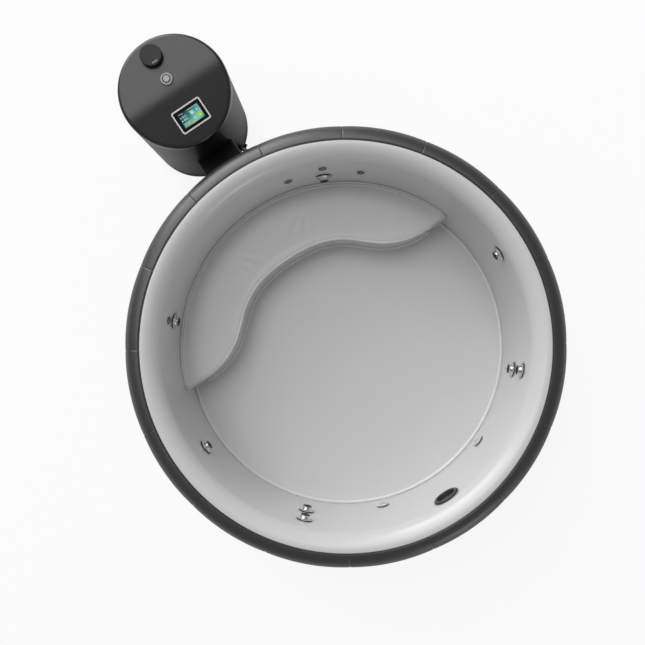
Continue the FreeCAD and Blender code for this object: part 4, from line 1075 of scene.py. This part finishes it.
def make_world(strength):
    world = bpy.data.worlds.new("studio")
    bpy.context.scene.world = world
    world.use_nodes = True
    tree = world.node_tree
    tree.nodes.clear()
    soft = add_node(tree, "ShaderNodeBackground", {"Color": (1, 1, 1, 1), "Strength": strength})
    white = add_node(tree, "ShaderNodeBackground", {"Color": (1, 1, 1, 1), "Strength": 1.0})
    share = white_share(tree, 1.0, 0.08)
    mix = add_node(tree, "ShaderNodeMixShader", {0: share, 1: soft.outputs["Background"],
                                                 2: white.outputs["Background"]})
    add_node(tree, "ShaderNodeOutputWorld", {"Surface": mix.outputs["Shader"]})


def make_softbox(name, elevation, azimuth, size, power):
    """A far softbox, width by height, that faces the tub. Azimuth is counted from the pump's side."""
    distance = 25.0
    lamp = bpy.data.lights.new(name, "AREA")
    lamp.shape = "RECTANGLE"
    lamp.size = size[0]
    lamp.size_y = size[1]
    lamp.energy = power
    aim = Vector((math.sin(azimuth) * math.cos(elevation), math.cos(azimuth) * math.cos(elevation),
                  math.sin(elevation)))
    made = bpy.data.objects.new(name, lamp)
    made.location = aim * distance
    made.rotation_euler = aim.to_track_quat("Z", "Y").to_euler()
    bpy.context.scene.collection.objects.link(made)


def make_camera():
    """The camera hangs over the tub's axis and looks straight down, with the pump at the upper left."""
    lens = bpy.data.cameras.new("top_camera")
    lens.sensor_width = 36.0
    lens.lens = 44.29
    lens.shift_x = -0.0364
    lens.shift_y = 0.0377
    lens.clip_end = 100.0
    camera = bpy.data.objects.new("top_camera", lens)
    camera.location = (0.0, 0.0, 4.153)
    camera.rotation_euler = (0.0, 0.0, math.radians(-33.82))
    bpy.context.scene.collection.objects.link(camera)
    bpy.context.scene.camera = camera


class HOTTUB_OT_stage(bpy.types.Operator):
    """Set up the floor, the studio light and the camera"""
    bl_idname = "hot_tub.stage"
    bl_label = "Stage"

    def execute(self, context):
        context.scene.view_settings.view_transform = "Standard"
        make_floor()
        make_world(0.25)
        make_softbox("key_softbox", math.radians(25), 0.0, (18.0, 18.5), 4450.0)
        make_softbox("upper_softbox", math.radians(63), 0.0, (18.0, 15.0), 2080.0)
        make_softbox("low_softbox", math.radians(12), math.pi, (6.7, 5.0), 500.0)
        make_camera()
        return {"FINISHED"}


class HOTTUB_PT_panel(bpy.types.Panel):
    """Sizes, colours and building steps of the hot tub"""
    bl_idname = "HOTTUB_PT_panel"
    bl_label = "Hot Tub"
    bl_space_type = "VIEW_3D"
    bl_region_type = "UI"
    bl_category = "Hot Tub"

    def draw(self, context):
        for group in (context.scene.hot_tub_sizes, context.scene.hot_tub_colours):
            for name in group.__annotations__:
                self.layout.prop(group, name)
        for step in STEPS:
            self.layout.operator(f"hot_tub.{step}")


STEPS = ("stage", "finishes", "jacket", "basin", "jets", "knob", "button", "display")
CLASSES = (TubSizes, TubColours, HOTTUB_OT_stage, HOTTUB_OT_finishes, HOTTUB_OT_jacket, HOTTUB_OT_basin,
           HOTTUB_OT_jets, HOTTUB_OT_knob, HOTTUB_OT_button, HOTTUB_OT_display, HOTTUB_PT_panel)


def register():
    for kind in CLASSES:
        bpy.utils.register_class(kind)
    bpy.types.Scene.hot_tub_sizes = PointerProperty(type=TubSizes)
    bpy.types.Scene.hot_tub_colours = PointerProperty(type=TubColours)


def unregister():
    del bpy.types.Scene.hot_tub_sizes
    del bpy.types.Scene.hot_tub_colours
    for kind in reversed(CLASSES):
        bpy.utils.unregister_class(kind)


def main():
    register()
    for step in STEPS:
        getattr(bpy.ops.hot_tub, step)()


if __name__ == "__main__":
    main()
